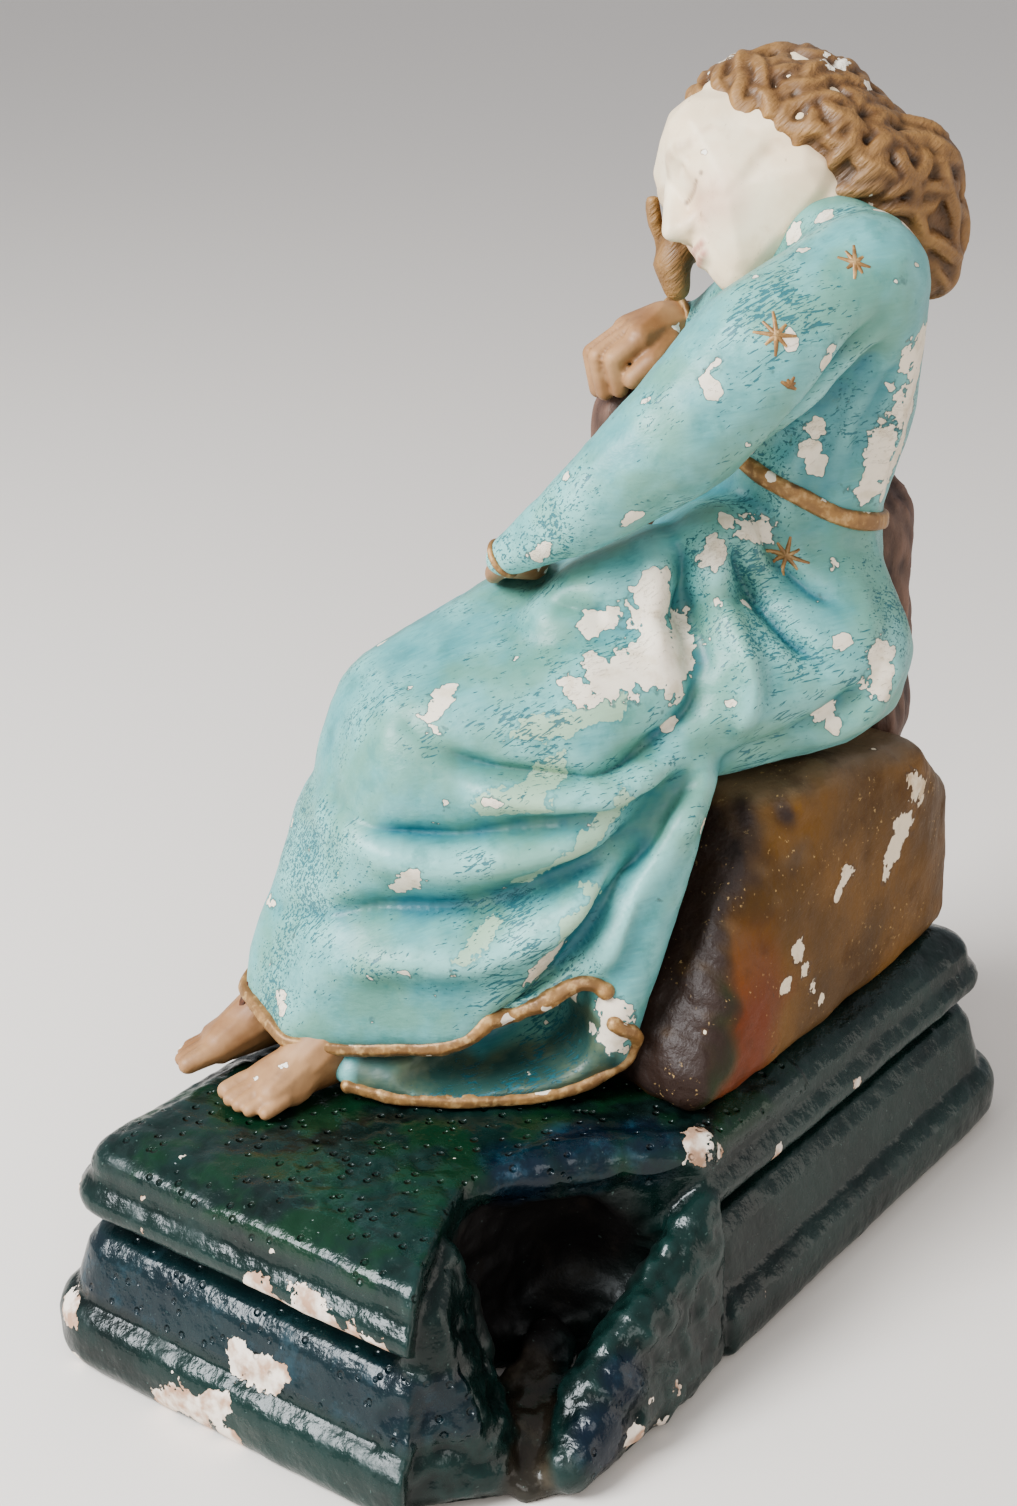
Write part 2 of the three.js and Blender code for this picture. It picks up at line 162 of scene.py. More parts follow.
def fuse(piece, voxel, smoothing=0):
    """Join a piece's overlapping solids into one even skin."""
    remesh = piece.modifiers.new("skin", "REMESH")
    remesh.mode = "VOXEL"
    remesh.voxel_size = voxel * MM
    if smoothing:
        soften = piece.modifiers.new("soften", "SMOOTH")
        soften.factor = 0.5
        soften.iterations = smoothing
    return applied(piece)


def carve(piece, cutter):
    """Cut another closed solid out of a piece."""
    cut = piece.modifiers.new("cut", "BOOLEAN")
    cut.operation = "DIFFERENCE"
    cut.solver = "EXACT"
    cut.object = cutter
    applied(piece)
    bpy.data.objects.remove(cutter)
    return piece


class Skin:
    """A mesh's points as arrays, for the chisel."""

    def __init__(self, piece):
        self.piece = piece
        self.mesh = piece.data
        count = len(self.mesh.vertices)
        flat = np.empty(count * 3)
        self.mesh.vertices.foreach_get("co", flat)
        self.co = flat.reshape(-1, 3) / MM
        ends = np.empty(len(self.mesh.edges) * 2, dtype=np.int64)
        self.mesh.edges.foreach_get("vertices", ends)
        self.ends = ends.reshape(-1, 2)
        self.degree = np.bincount(self.ends.ravel(), minlength=count).clip(1)
        self.renew()

    def renew(self):
        flat = (self.co * MM).ravel()
        self.mesh.vertices.foreach_set("co", flat)
        self.mesh.update()
        normals = np.empty(len(self.co) * 3)
        self.mesh.vertices.foreach_get("normal", normals)
        self.normal = normals.reshape(-1, 3)

    def spread(self, values, rounds, strength=0.6):
        """Values evened out between neighbouring points."""
        values = np.array(values, dtype=float)
        first, second = self.ends.T
        for _ in range(rounds):
            total = np.empty_like(values)
            for axis in range(values.shape[1]):
                column = values[:, axis]
                total[:, axis] = (np.bincount(first, column[second], len(values))
                                  + np.bincount(second, column[first], len(values)))
            values += strength * (total / self.degree[:, None] - values)
        return values

    def push(self, amount):
        self.co += self.normal * np.asarray(amount)[:, None]
        self.renew()

    def smooth(self, rounds, where=None):
        calm = self.spread(self.co, rounds)
        self.co = calm if where is None else self.co + (calm - self.co) * where[:, None]
        self.renew()

    def hollows(self, rounds):
        """How far each point lies below its surroundings, in millimetres."""
        calm = self.spread(self.co, rounds)
        return np.einsum("ij,ij->i", calm - self.co, self.normal)

    def tree(self):
        corners = [tuple(face.vertices) for face in self.mesh.polygons]
        return BVHTree.FromPolygons([tuple(p) for p in self.co], corners)

    def store(self, name, values):
        layer = self.mesh.attributes.new(name, "FLOAT", "POINT")
        layer.data.foreach_set("value", np.asarray(values, dtype=np.float32))

    def wobble(self, size, seed=0, octaves=2):
        """Smooth noise over the surface, about -1 to 1."""
        shift = Vector((seed * 17.3, seed * 5.1, seed * 9.7))
        return np.array([noise.fractal(Vector(p) / size + shift, 0.8, 2.0, octaves) for p in self.co])


def curve_points(points, step=1.5):
    """A smooth curve through some points, with a point every step."""
    spots = [Vector(p) for p in points]
    spots = [spots[0] * 2 - spots[1]] + spots + [spots[-1] * 2 - spots[-2]]
    path = []
    for a, b, c, d in zip(spots, spots[1:], spots[2:], spots[3:]):
        rounds = max(2, int((c - b).length / step))
        for k in range(rounds):
            t = k / rounds
            path.append(0.5 * ((2 * b) + (c - a) * t + (2 * a - 5 * b + 4 * c - d) * t ** 2
                               + (3 * b - a - 3 * c + d) * t ** 3))
    path.append(spots[-2])
    return path


def distance_to(path, places):
    """How far each place is from a path, and where along it the nearest point lies, 0 to 1."""
    path = np.array([tuple(p) for p in path])
    nearest = np.full(len(places), 1e9)
    where = np.zeros(len(places))
    for index, point in enumerate(path):
        gap = np.einsum("ij,ij->i", places - point, places - point)
        closer = gap < nearest
        nearest[closer] = gap[closer]
        where[closer] = index / max(1, len(path) - 1)
    return np.sqrt(nearest), where


def stroke(skin, path, width, height, fade=0.22):
    """Raise a ridge, or sink a valley, along a path on the surface."""
    low = np.min([tuple(p) for p in path], axis=0) - 3 * width
    high = np.max([tuple(p) for p in path], axis=0) + 3 * width
    near = np.flatnonzero(((skin.co > low) & (skin.co < high)).all(axis=1))
    if not len(near):
        return
    gap, along = distance_to(path, skin.co[near])
    ends = np.clip(np.minimum(along, 1 - along) / fade, 0, 1)
    lift = np.zeros(len(skin.co))
    sharp = 2.0 if height > 0 else 1.35
    lift[near] = height * np.exp(-(gap / width) ** sharp) * (0.25 + 0.75 * ends * ends * (3 - 2 * ends))
    skin.push(lift)


def draped(tree, points, side):
    """A curve drawn on the figure's side elevation (forward, up), laid on its near or far side."""
    path = []
    for forward, up, _ in curve_points([(f, u, 0) for f, u in points]):
        start = at(forward, 200 * side, up) / MM
        hit = tree.ray_cast(start, -LEFT * side)[0]
        if hit:
            path.append(hit)
    return path


def snapped(tree, points, lift=0.0, place=at):
    """A smooth curve through some places, laid on the nearest surface and lifted off it."""
    path = []
    for point in curve_points(points):
        spot, normal, _, _ = tree.find_nearest(place(*point) / MM)
        path.append(spot + normal * lift)
    return path


def fielded(skin, spots, place):
    """A field that is 1 at each spot and falls to 0 at its radius and below 0 outside."""
    field = np.full(len(skin.co), -1.0)
    for *spot, radius in spots:
        centre = np.array(place(*spot)) / MM
        gap = np.linalg.norm(skin.co - centre, axis=1)
        field = np.maximum(field, 1 - gap / radius)
    return field


def finish_piece(piece, material, slot, *nodes):
    piece.data.materials.clear()
    piece.data.materials.append(material)
    for face in piece.data.polygons:
        face.use_smooth = True
    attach(piece, "root")
    if nodes:
        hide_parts(*nodes)
    return piece


# ---- shader tools ----
class Nodes:
    """Adds shader nodes to one tree and joins them up."""

    def __init__(self, tree):
        self.tree = tree

    def add(self, kind, inputs=(), **settings):
        node = self.tree.nodes.new(kind)
        for name, value in settings.items():
            setattr(node, name, value)
        for name, value in dict(inputs).items():
            self.feed(node.inputs[name], value)
        return node

    def feed(self, socket, value):
        if isinstance(value, bpy.types.NodeSocket):
            self.tree.links.new(value, socket)
        else:
            socket.default_value = value

    def maths(self, operation, first, second=0.0, clamp=False):
        return self.add("ShaderNodeMath", {0: first, 1: second}, operation=operation, use_clamp=clamp).outputs[0]

    def blend(self, factor, first, second, way="MIX"):
        node = self.add("ShaderNodeMix", {0: factor, 6: first, 7: second}, data_type="RGBA", blend_type=way)
        return node.outputs[2]

    def step(self, value, low, high):
        """0 below low, 1 above high and a soft edge between."""
        node = self.add("ShaderNodeMapRange", {0: value, 1: low, 2: high}, interpolation_type="SMOOTHSTEP")
        return node.outputs[0]

    def noise(self, where, scale, detail=3.0, rough=0.55):
        node = self.add("ShaderNodeTexNoise", {"Vector": where, "Scale": scale, "Detail": detail,
                                               "Roughness": rough})
        return node.outputs["Fac"]

    def mapped(self, where, scale=(1, 1, 1), turn=(0, 0, 0), place=(0, 0, 0)):
        node = self.add("ShaderNodeMapping", {"Vector": where, "Scale": scale, "Rotation": turn,
                                              "Location": place})
        return node.outputs[0]

    def stretched(self, where, turn, scale):
        """Turned first and then stretched, so streaks run along the turned first axis."""
        turned = self.add("ShaderNodeMapping", {"Vector": where, "Rotation": turn}).outputs[0]
        return self.add("ShaderNodeVectorMath", {0: turned, 1: scale}, operation="MULTIPLY").outputs[0]

    def painted(self, name):
        """A value stored on the piece's points."""
        return self.add("ShaderNodeAttribute", attribute_name=name, attribute_type="GEOMETRY").outputs["Fac"]

    def where(self):
        return self.add("ShaderNodeTexCoord").outputs["Object"]


def colour(red, green, blue):
    """A paint colour given the way a colour picker shows it, 0 to 255."""
    shades = [value / 255 for value in (red, green, blue)]
    return tuple(s / 12.92 if s <= 0.04045 else ((s + 0.055) / 1.055) ** 2.4 for s in shades) + (1,)


def new_group(name, inputs, outputs):
    """An empty node group: inputs and outputs are {name: (kind, default)} and {name: kind}."""
    tree = bpy.data.node_groups.new(name, "ShaderNodeTree")
    for label, (kind, default) in inputs.items():
        socket = tree.interface.new_socket(label, in_out="INPUT", socket_type="NodeSocket" + kind)
        if default is not None:
            socket.default_value = default
    for label, kind in outputs.items():
        tree.interface.new_socket(label, in_out="OUTPUT", socket_type="NodeSocket" + kind)
    nodes = Nodes(tree)
    return nodes, nodes.add("NodeGroupInput").outputs, nodes.add("NodeGroupOutput").inputs


def chip_group():
    """Ragged patches where paint has gone: inside a stored field, plus scattered small flecks."""
    nodes, given, put = new_group(
        "flaked_paint",
        {"Vector": ("Vector", None), "Field": ("Float", -1.0), "Ragged": ("Float", 110.0),
         "Flecks": ("Float", 0.2), "Fleck Size": ("Float", 70.0)},
        {"Bare": "Float", "Rim": "Float"})
    coarse = nodes.noise(given["Vector"], given["Ragged"], 2.0)
    fine = nodes.noise(given["Vector"], 420.0, 2.0)
    ragged = nodes.maths("ADD", nodes.maths("MULTIPLY", nodes.maths("SUBTRACT", coarse, 0.5), 3.2),
                         nodes.maths("MULTIPLY", nodes.maths("SUBTRACT", fine, 0.5), 1.1))
    field = nodes.maths("ADD", given["Field"], ragged)
    bend = nodes.add("ShaderNodeTexNoise", {"Vector": given["Vector"], "Scale": 230.0, "Detail": 2.0})
    shifted = nodes.add("ShaderNodeVectorMath", {0: bend.outputs["Color"], "Scale": 0.006}, operation="SCALE")
    place = nodes.add("ShaderNodeVectorMath", {0: given["Vector"], 1: shifted.outputs[0]}, operation="ADD")
    cells = nodes.add("ShaderNodeTexVoronoi", {"Vector": place.outputs[0], "Scale": given["Fleck Size"]})
    chance = nodes.add("ShaderNodeSeparateColor", {0: cells.outputs["Color"]}).outputs[0]
    size = nodes.maths("MULTIPLY", nodes.maths("SUBTRACT", nodes.maths("ADD", given["Flecks"], chance), 1.0), 1.3)
    flecks = nodes.maths("SUBTRACT", size, cells.outputs["Distance"])
    both = nodes.maths("MAXIMUM", nodes.maths("MULTIPLY", field, 0.2), flecks)
    nodes.feed(put["Bare"], nodes.step(both, 0.0, 0.012))
    # Rim: a thin dark line round each loss, partly dirt caught at the broken edge and partly painted shadow of the
    # paint's step.
    nodes.feed(put["Rim"], nodes.maths("MULTIPLY", nodes.step(both, -0.05, -0.004),
                                       nodes.maths("SUBTRACT", 1.0, nodes.step(both, 0.0, 0.02))))
    return nodes.tree


def brush_group():
    """Mottled brushed paint: broad cloudy changes, and fine streaks along one way."""
    nodes, given, put = new_group(
        "brushed_paint",
        {"Vector": ("Vector", None), "Body": ("Color", None), "Light": ("Color", None),
         "Shade": ("Color", None), "Broad": ("Float", 22.0), "Turn": ("Vector", None)},
        {"Color": "Color", "Streaks": "Float"})
    cloud = nodes.step(nodes.noise(given["Vector"], given["Broad"], 4.0), 0.36, 0.68)
    streaks = nodes.noise(nodes.stretched(given["Vector"], given["Turn"], (70, 700, 700)), 1.0, 3.0)
    soft = nodes.step(nodes.noise(given["Vector"], 75.0, 3.0), 0.42, 0.75)
    tone = nodes.blend(cloud, given["Body"], given["Light"])
    tone = nodes.blend(nodes.maths("MULTIPLY", soft, 0.45), tone, given["Shade"])
    tone = nodes.blend(nodes.maths("MULTIPLY", nodes.step(streaks, 0.52, 0.72), 0.35), tone, given["Shade"])
    tone = nodes.blend(nodes.maths("MULTIPLY", nodes.step(streaks, 0.48, 0.28), 0.25), tone, given["Light"])
    nodes.feed(put["Color"], tone)
    nodes.feed(put["Streaks"], streaks)
    return nodes.tree


def crack_group():
    """Short hair cracks and scratches, longer one way than the other."""
    nodes, given, put = new_group(
        "hair_cracks",
        {"Vector": ("Vector", None), "Turn": ("Vector", None), "Amount": ("Float", 0.5),
         "Scale": ("Float", 1.0)},
        {"Cracks": "Float"})
    dashes = nodes.noise(nodes.stretched(given["Vector"], given["Turn"], (110, 900, 900)), given["Scale"], 2.0, 0.6)
    zones = nodes.noise(given["Vector"], 26.0, 3.0)
    level = nodes.maths("SUBTRACT", 0.82, nodes.maths("MULTIPLY", given["Amount"],
                                                      nodes.step(zones, 0.3, 0.7)))
    over = nodes.maths("SUBTRACT", dashes, level)
    nodes.feed(put["Cracks"], nodes.step(over, 0.0, 0.03))
    return nodes.tree


CHIPS, BRUSH, CRACKS = chip_group(), brush_group(), crack_group()


def new_material(name):
    material = bpy.data.materials.new(name)
    material.use_nodes = True
    material.node_tree.nodes.clear()
    nodes = Nodes(material.node_tree)
    shader = nodes.add("ShaderNodeBsdfPrincipled")
    nodes.add("ShaderNodeOutputMaterial", {"Surface": shader.outputs[0]})
    return material, nodes, shader.inputs


def use(nodes, group, **values):
    node = nodes.add("ShaderNodeGroup", node_tree=group)
    for name, value in values.items():
        nodes.feed(node.inputs[name.replace("_", " ")], value)
    return node.outputs


def bumped(nodes, shader, height, distance, strength=1.0):
    bump = nodes.add("ShaderNodeBump", {"Strength": strength, "Distance": distance, "Height": height})
    nodes.feed(shader["Normal"], bump.outputs[0])


PLASTER = colour(226, 214, 196)


def gown_paint():
    material, nodes, shader = new_material("turquoise_gown_paint")
    where = nodes.where()
    along = (0.0, 0.12, -TURN)
    brushed = use(nodes, BRUSH, Vector=where, Body=colour(86, 148, 150), Light=colour(124, 178, 172),
                  Shade=colour(56, 116, 120), Broad=26.0, Turn=along)
    # Painted shade in the folds, with the painted shadow under the arm, and a painted highlight along the ridges.
    tone = nodes.blend(nodes.maths("MULTIPLY", nodes.painted("hollow"), 0.85), brushed["Color"],
                       colour(32, 98, 112))
    tone = nodes.blend(nodes.maths("MULTIPLY", nodes.painted("ridge_highlight"), 0.5), tone, colour(158, 208, 200))
    greens = nodes.step(nodes.noise(where, 30.0, 4.0), 0.42, 0.66)
    tone = nodes.blend(nodes.maths("MULTIPLY", greens, 0.6), tone, colour(104, 144, 120))
    worn = nodes.step(nodes.noise(where, 85.0, 5.0, 0.65), 0.52, 0.7)
    tone = nodes.blend(nodes.maths("MULTIPLY", worn, 0.5), tone, colour(70, 128, 124))
    older = use(nodes, CHIPS, Vector=where, Field=nodes.painted("older"), Ragged=95.0, Flecks=0.0)
    tone = nodes.blend(nodes.maths("MULTIPLY", older["Bare"], 0.85), tone, colour(160, 186, 158))
    # Painted shade inside the opening of the hem: a dark grey-green over the turquoise.
    hem_opening_shade = nodes.blend(nodes.step(nodes.noise(where, 60.0, 3.0), 0.4, 0.7), colour(54, 84, 78),
                         colour(92, 104, 84))
    tone = nodes.blend(nodes.painted("hem_opening_shade"), tone, hem_opening_shade)
    # The older paint's rim: a dark line of dirt and painted shadow.
    tone = nodes.blend(nodes.maths("MULTIPLY", older["Rim"], 0.5), tone, colour(62, 120, 124))
    level = use(nodes, CRACKS, Vector=where, Turn=along, Amount=0.27, Scale=1.0)["Cracks"]
    slanted = use(nodes, CRACKS, Vector=where, Turn=(0.0, 0.75, -TURN), Amount=0.27, Scale=1.1)["Cracks"]
    cracks = nodes.maths("MAXIMUM", level, slanted)
    tone = nodes.blend(nodes.maths("MULTIPLY", cracks, 0.85), tone, colour(40, 96, 106))
    chips = use(nodes, CHIPS, Vector=where, Field=nodes.painted("loss"), Ragged=105.0, Flecks=0.3,
                Fleck_Size=80.0)
    grime = nodes.step(nodes.noise(where, 160.0, 3.0), 0.45, 0.7)
    bare = nodes.blend(nodes.maths("MULTIPLY", grime, 0.5), PLASTER, colour(196, 180, 154))
    tone = nodes.blend(chips["Bare"], tone, bare)
    # Each chip's rim: a dark line of dirt and painted shadow.
    tone = nodes.blend(nodes.maths("MULTIPLY", chips["Rim"], 0.75), tone, colour(70, 108, 106))
    nodes.feed(shader["Base Color"], tone)
    nodes.feed(shader["Roughness"], nodes.maths("ADD", 0.42, nodes.maths("MULTIPLY", chips["Bare"], 0.35)))
    height = nodes.maths("SUBTRACT", nodes.maths("MULTIPLY", brushed["Streaks"], 0.35),
                         nodes.maths("ADD", chips["Bare"], nodes.maths("MULTIPLY", cracks, 0.4)))
    bumped(nodes, shader, height, 0.0005)
    return material


def gilt_paint():
    material, nodes, shader = new_material("worn_gilt_bronze_paint")
    where = nodes.where()
    cloud = nodes.step(nodes.noise(where, 130.0, 4.0), 0.35, 0.7)
    tone = nodes.blend(cloud, colour(128, 96, 62), colour(164, 126, 80))
    worn = nodes.step(nodes.noise(where, 260.0, 3.0), 0.5, 0.68)
    tone = nodes.blend(nodes.maths("MULTIPLY", worn, 0.55), tone, colour(196, 164, 118))
    dark = nodes.step(nodes.noise(where, 90.0, 3.0), 0.58, 0.75)
    tone = nodes.blend(nodes.maths("MULTIPLY", dark, 0.7), tone, colour(88, 64, 44))
    chips = use(nodes, CHIPS, Vector=where, Field=-0.9, Ragged=140.0, Flecks=0.25, Fleck_Size=110.0)
    tone = nodes.blend(chips["Bare"], tone, PLASTER)
    nodes.feed(shader["Base Color"], tone)
    nodes.feed(shader["Metallic"], nodes.maths("MULTIPLY", nodes.maths("SUBTRACT", 1.0, chips["Bare"]), 0.25))
    nodes.feed(shader["Roughness"], nodes.maths("ADD", 0.38, nodes.maths("MULTIPLY", cloud, 0.2)))
    bumped(nodes, shader, nodes.noise(where, 330.0, 3.0), 0.0004, 0.6)
    return material


def flesh_paint(name, body, light, shade, flecks):
    """Ivory paint over plaster. The face's own tints are stored on its points."""
    material, nodes, shader = new_material(name)
    where = nodes.where()
    cloud = nodes.step(nodes.noise(where, 38.0, 4.0), 0.35, 0.68)
    tone = nodes.blend(cloud, body, light)
    stain = nodes.step(nodes.noise(where, 95.0, 4.0), 0.55, 0.78)
    tone = nodes.blend(nodes.maths("MULTIPLY", stain, 0.4), tone, shade)
    # Painted shade in the hollows of the face, hands and feet.
    tone = nodes.blend(nodes.maths("MULTIPLY", nodes.painted("hollow"), 0.75), tone, shade)
    tone = nodes.blend(nodes.maths("MULTIPLY", nodes.painted("blush"), 0.5), tone, colour(206, 160, 138))
    tone = nodes.blend(nodes.maths("MULTIPLY", nodes.painted("lips"), 0.75), tone, colour(176, 112, 98))
    tone = nodes.blend(nodes.maths("MULTIPLY", nodes.painted("lash"), 0.8), tone, colour(104, 78, 62))
    tone = nodes.blend(nodes.maths("MULTIPLY", nodes.painted("brow"), 0.35), tone, colour(150, 120, 94))
    cracks = use(nodes, CRACKS, Vector=where, Turn=(0.2, 0.9, 0.4), Amount=0.16, Scale=1.3)["Cracks"]
    tone = nodes.blend(nodes.maths("MULTIPLY", cracks, 0.35), tone, colour(150, 122, 96))
    chips = use(nodes, CHIPS, Vector=where, Field=nodes.painted("loss"), Ragged=120.0, Flecks=flecks,
                Fleck_Size=120.0)
    tone = nodes.blend(chips["Bare"], tone, colour(238, 230, 216))
    # Each chip's rim: a dark line of dirt and painted shadow.
    tone = nodes.blend(nodes.maths("MULTIPLY", chips["Rim"], 0.5), tone, colour(150, 120, 92))
    nodes.feed(shader["Base Color"], tone)
    nodes.feed(shader["Roughness"], nodes.maths("ADD", 0.45, nodes.maths("MULTIPLY", cloud, 0.12)))
    height = nodes.maths("SUBTRACT", nodes.maths("MULTIPLY", nodes.noise(where, 240.0, 3.0), 0.35), chips["Bare"])
    bumped(nodes, shader, height, 0.0003)
    return material


def hair_paint():
    material, nodes, shader = new_material("carved_hair_paint")
    where = nodes.where()
    cloud = nodes.step(nodes.noise(where, 55.0, 4.0), 0.35, 0.7)
    tone = nodes.blend(cloud, colour(100, 70, 42), colour(130, 96, 58))
    # A painted highlight on the curls' ridges and painted shade deep in the hollows between them.
    tone = nodes.blend(nodes.maths("MULTIPLY", nodes.painted("ridge_highlight"), 0.8), tone, colour(172, 132, 82))
    tone = nodes.blend(nodes.maths("MULTIPLY", nodes.painted("hollow"), 0.97), tone, colour(30, 20, 15))
    greys = nodes.step(nodes.noise(where, 30.0, 3.0), 0.52, 0.75)
    tone = nodes.blend(nodes.maths("MULTIPLY", greys, 0.4), tone, colour(92, 74, 62))
    chips = use(nodes, CHIPS, Vector=where, Field=nodes.painted("loss"), Ragged=130.0, Flecks=0.2,
                Fleck_Size=115.0)
    bare = nodes.maths("MULTIPLY", chips["Bare"],
                       nodes.maths("SUBTRACT", 1.0, nodes.maths("MULTIPLY", nodes.painted("hollow"), 1.4, True)))
    tone = nodes.blend(bare, tone, colour(226, 216, 200))
    nodes.feed(shader["Base Color"], tone)
    nodes.feed(shader["Roughness"], nodes.maths("ADD", 0.42, nodes.maths("MULTIPLY", cloud, 0.15)))
    combed = nodes.noise(nodes.stretched(where, (0.0, 0.95, -TURN), (70, 560, 560)), 1.0, 3.0)
    bumped(nodes, shader, nodes.maths("SUBTRACT", nodes.maths("MULTIPLY", combed, 1.6), bare), 0.0007)
    return material


def rock_paint():
    material, nodes, shader = new_material("ochre_rock_paint")
    where = nodes.where()
    height = nodes.add("ShaderNodeSeparateXYZ", {0: where}).outputs
    cloud = nodes.step(nodes.noise(where, 16.0, 5.0), 0.34, 0.68)
    tone = nodes.blend(cloud, colour(80, 54, 16), colour(114, 78, 26))
    mud = nodes.step(nodes.noise(where, 40.0, 5.0, 0.65), 0.5, 0.72)
    tone = nodes.blend(nodes.maths("MULTIPLY", mud, 0.55), tone, colour(70, 46, 26))
    tone = nodes.blend(nodes.painted("grey"), tone, nodes.blend(mud, colour(112, 92, 70), colour(84, 64, 48)))
    tone = nodes.blend(nodes.painted("rust"), tone, nodes.blend(mud, colour(108, 50, 16), colour(84, 46, 22)))
    tone = nodes.blend(nodes.painted("moss"), tone, nodes.blend(mud, colour(26, 48, 26), colour(62, 72, 34)))
    tone = nodes.blend(nodes.painted("shade"), tone, nodes.blend(mud, colour(50, 36, 30), colour(34, 24, 21)))
    speckle = nodes.step(nodes.noise(where, 480.0, 2.0), 0.66, 0.72)
    zone = nodes.step(nodes.noise(where, 26.0, 2.0), 0.42, 0.62)
    tone = nodes.blend(nodes.maths("MULTIPLY", nodes.maths("MULTIPLY", speckle, zone), 0.7), tone,
                       colour(186, 156, 108))
    chips = use(nodes, CHIPS, Vector=where, Field=nodes.painted("loss"), Ragged=85.0, Flecks=0.12,
                Fleck_Size=60.0)
    tone = nodes.blend(chips["Bare"], tone, nodes.blend(mud, colour(224, 208, 184), colour(190, 164, 130)))
    # Each chip's rim: a dark line of dirt and painted shadow.
    tone = nodes.blend(nodes.maths("MULTIPLY", chips["Rim"], 0.6), tone, colour(78, 56, 38))
    nodes.feed(shader["Base Color"], tone)
    nodes.feed(shader["Specular IOR Level"], 0.32)
    nodes.feed(shader["Roughness"], nodes.maths("ADD", 0.46, nodes.maths("MULTIPLY", mud, 0.2)))
    relief = nodes.maths("SUBTRACT", nodes.maths("ADD", nodes.noise(where, 110.0, 5.0),
                                                 nodes.maths("MULTIPLY", nodes.noise(where, 420.0, 3.0), 0.4)),
                         nodes.maths("MULTIPLY", chips["Bare"], 0.8))
    bumped(nodes, shader, relief, 0.0009)
    return material


def stump_paint():
    material, nodes, shader = new_material("brown_stump_paint")
    where = nodes.where()
    bark = nodes.noise(nodes.mapped(where, (1, 1, 0.35)), 120.0, 5.0, 0.62)
    tone = nodes.blend(nodes.step(bark, 0.35, 0.65), colour(62, 44, 38), colour(98, 74, 62))
    # A painted highlight on the bark's ridges and painted shade in its grooves.
    tone = nodes.blend(nodes.maths("MULTIPLY", nodes.painted("ridge_highlight"), 0.7), tone, colour(140, 108, 92))
    tone = nodes.blend(nodes.maths("MULTIPLY", nodes.painted("hollow"), 0.8), tone, colour(38, 26, 24))
    chips = use(nodes, CHIPS, Vector=where, Field=nodes.painted("loss"), Ragged=90.0, Flecks=0.14,
                Fleck_Size=75.0)
    tone = nodes.blend(chips["Bare"], tone, colour(216, 198, 178))
    nodes.feed(shader["Base Color"], tone)
    nodes.feed(shader["Roughness"], nodes.maths("ADD", 0.42, nodes.maths("MULTIPLY", bark, 0.2)))
    bumped(nodes, shader, bark, 0.0016)
    return material


def plinth_paint():
    material, nodes, shader = new_material("bottle_green_plinth_paint")
    where = nodes.where()
    cloud = nodes.step(nodes.noise(where, 13.0, 4.0), 0.36, 0.66)
    tone = nodes.blend(cloud, colour(10, 22, 20), colour(20, 42, 38))
    rubbed = nodes.step(nodes.noise(where, 60.0, 5.0, 0.65), 0.5, 0.75)
    tone = nodes.blend(nodes.maths("MULTIPLY", rubbed, 0.3), tone, colour(38, 60, 56))
    # Painted shade in the mouldings' grooves and a painted highlight on their edges.
    tone = nodes.blend(nodes.maths("MULTIPLY", nodes.painted("hollow"), 0.85), tone, colour(5, 10, 11))
    tone = nodes.blend(nodes.maths("MULTIPLY", nodes.painted("ridge_highlight"), 0.35), tone, colour(44, 74, 70))
    tone = nodes.blend(nodes.painted("cave"), tone, nodes.blend(rubbed, colour(18, 14, 13), colour(40, 32, 26)))
    tone = nodes.blend(nodes.painted("ramp"), tone, nodes.blend(rubbed, colour(52, 44, 36), colour(80, 70, 56)))
    moss = nodes.maths("MULTIPLY", nodes.painted("pad"), nodes.step(nodes.noise(where, 45.0, 3.0), 0.45, 0.6))
    tone = nodes.blend(nodes.maths("MULTIPLY", moss, 0.8), tone, colour(20, 52, 32))
    # A painted bluish reflection of the window on the glossy paint: on the grotto's lip and lobes and on the end's
    # slope.
    tone = nodes.blend(nodes.maths("MULTIPLY", nodes.painted("blue"), 0.7), tone,
                       nodes.blend(rubbed, colour(14, 28, 46), colour(44, 78, 98)))
    speckle = nodes.step(nodes.noise(where, 520.0, 2.0), 0.7, 0.76)
    tone = nodes.blend(nodes.maths("MULTIPLY", speckle, 0.3), tone, colour(120, 140, 132))
    chips = use(nodes, CHIPS, Vector=where, Field=nodes.painted("loss"), Ragged=80.0, Flecks=0.10,
                Fleck_Size=70.0)
    stain = nodes.step(nodes.noise(where, 120.0, 3.0), 0.4, 0.65)
    tone = nodes.blend(chips["Bare"], tone, nodes.blend(stain, colour(226, 214, 200), colour(176, 142, 118)))
    nodes.feed(shader["Base Color"], tone)
    nodes.feed(shader["Specular IOR Level"], 0.4)
    dull = nodes.maths("MAXIMUM", nodes.maths("MULTIPLY", nodes.painted("cave"), 0.45),
                       nodes.maths("MULTIPLY", chips["Bare"], 0.5))
    nodes.feed(shader["Roughness"], nodes.maths("ADD", nodes.maths("MULTIPLY", rubbed, 0.22),
                                                nodes.maths("ADD", 0.22, dull)))
    cells = nodes.add("ShaderNodeTexVoronoi", {"Vector": where, "Scale": 155.0})
    pits = nodes.maths("MULTIPLY", nodes.step(cells.outputs["Distance"], 0.1, 0.26),
                       nodes.maths("ADD", nodes.painted("pad"), nodes.painted("blue"), True))
    relief = nodes.maths("SUBTRACT", nodes.maths("ADD", nodes.maths("MULTIPLY", nodes.noise(where, 90.0, 4.0), 0.8),
                                                 nodes.maths("MULTIPLY", pits, 1.1)),
                         nodes.maths("MULTIPLY", chips["Bare"], 0.8))
    bumped(nodes, shader, relief, 0.0015)
    return material


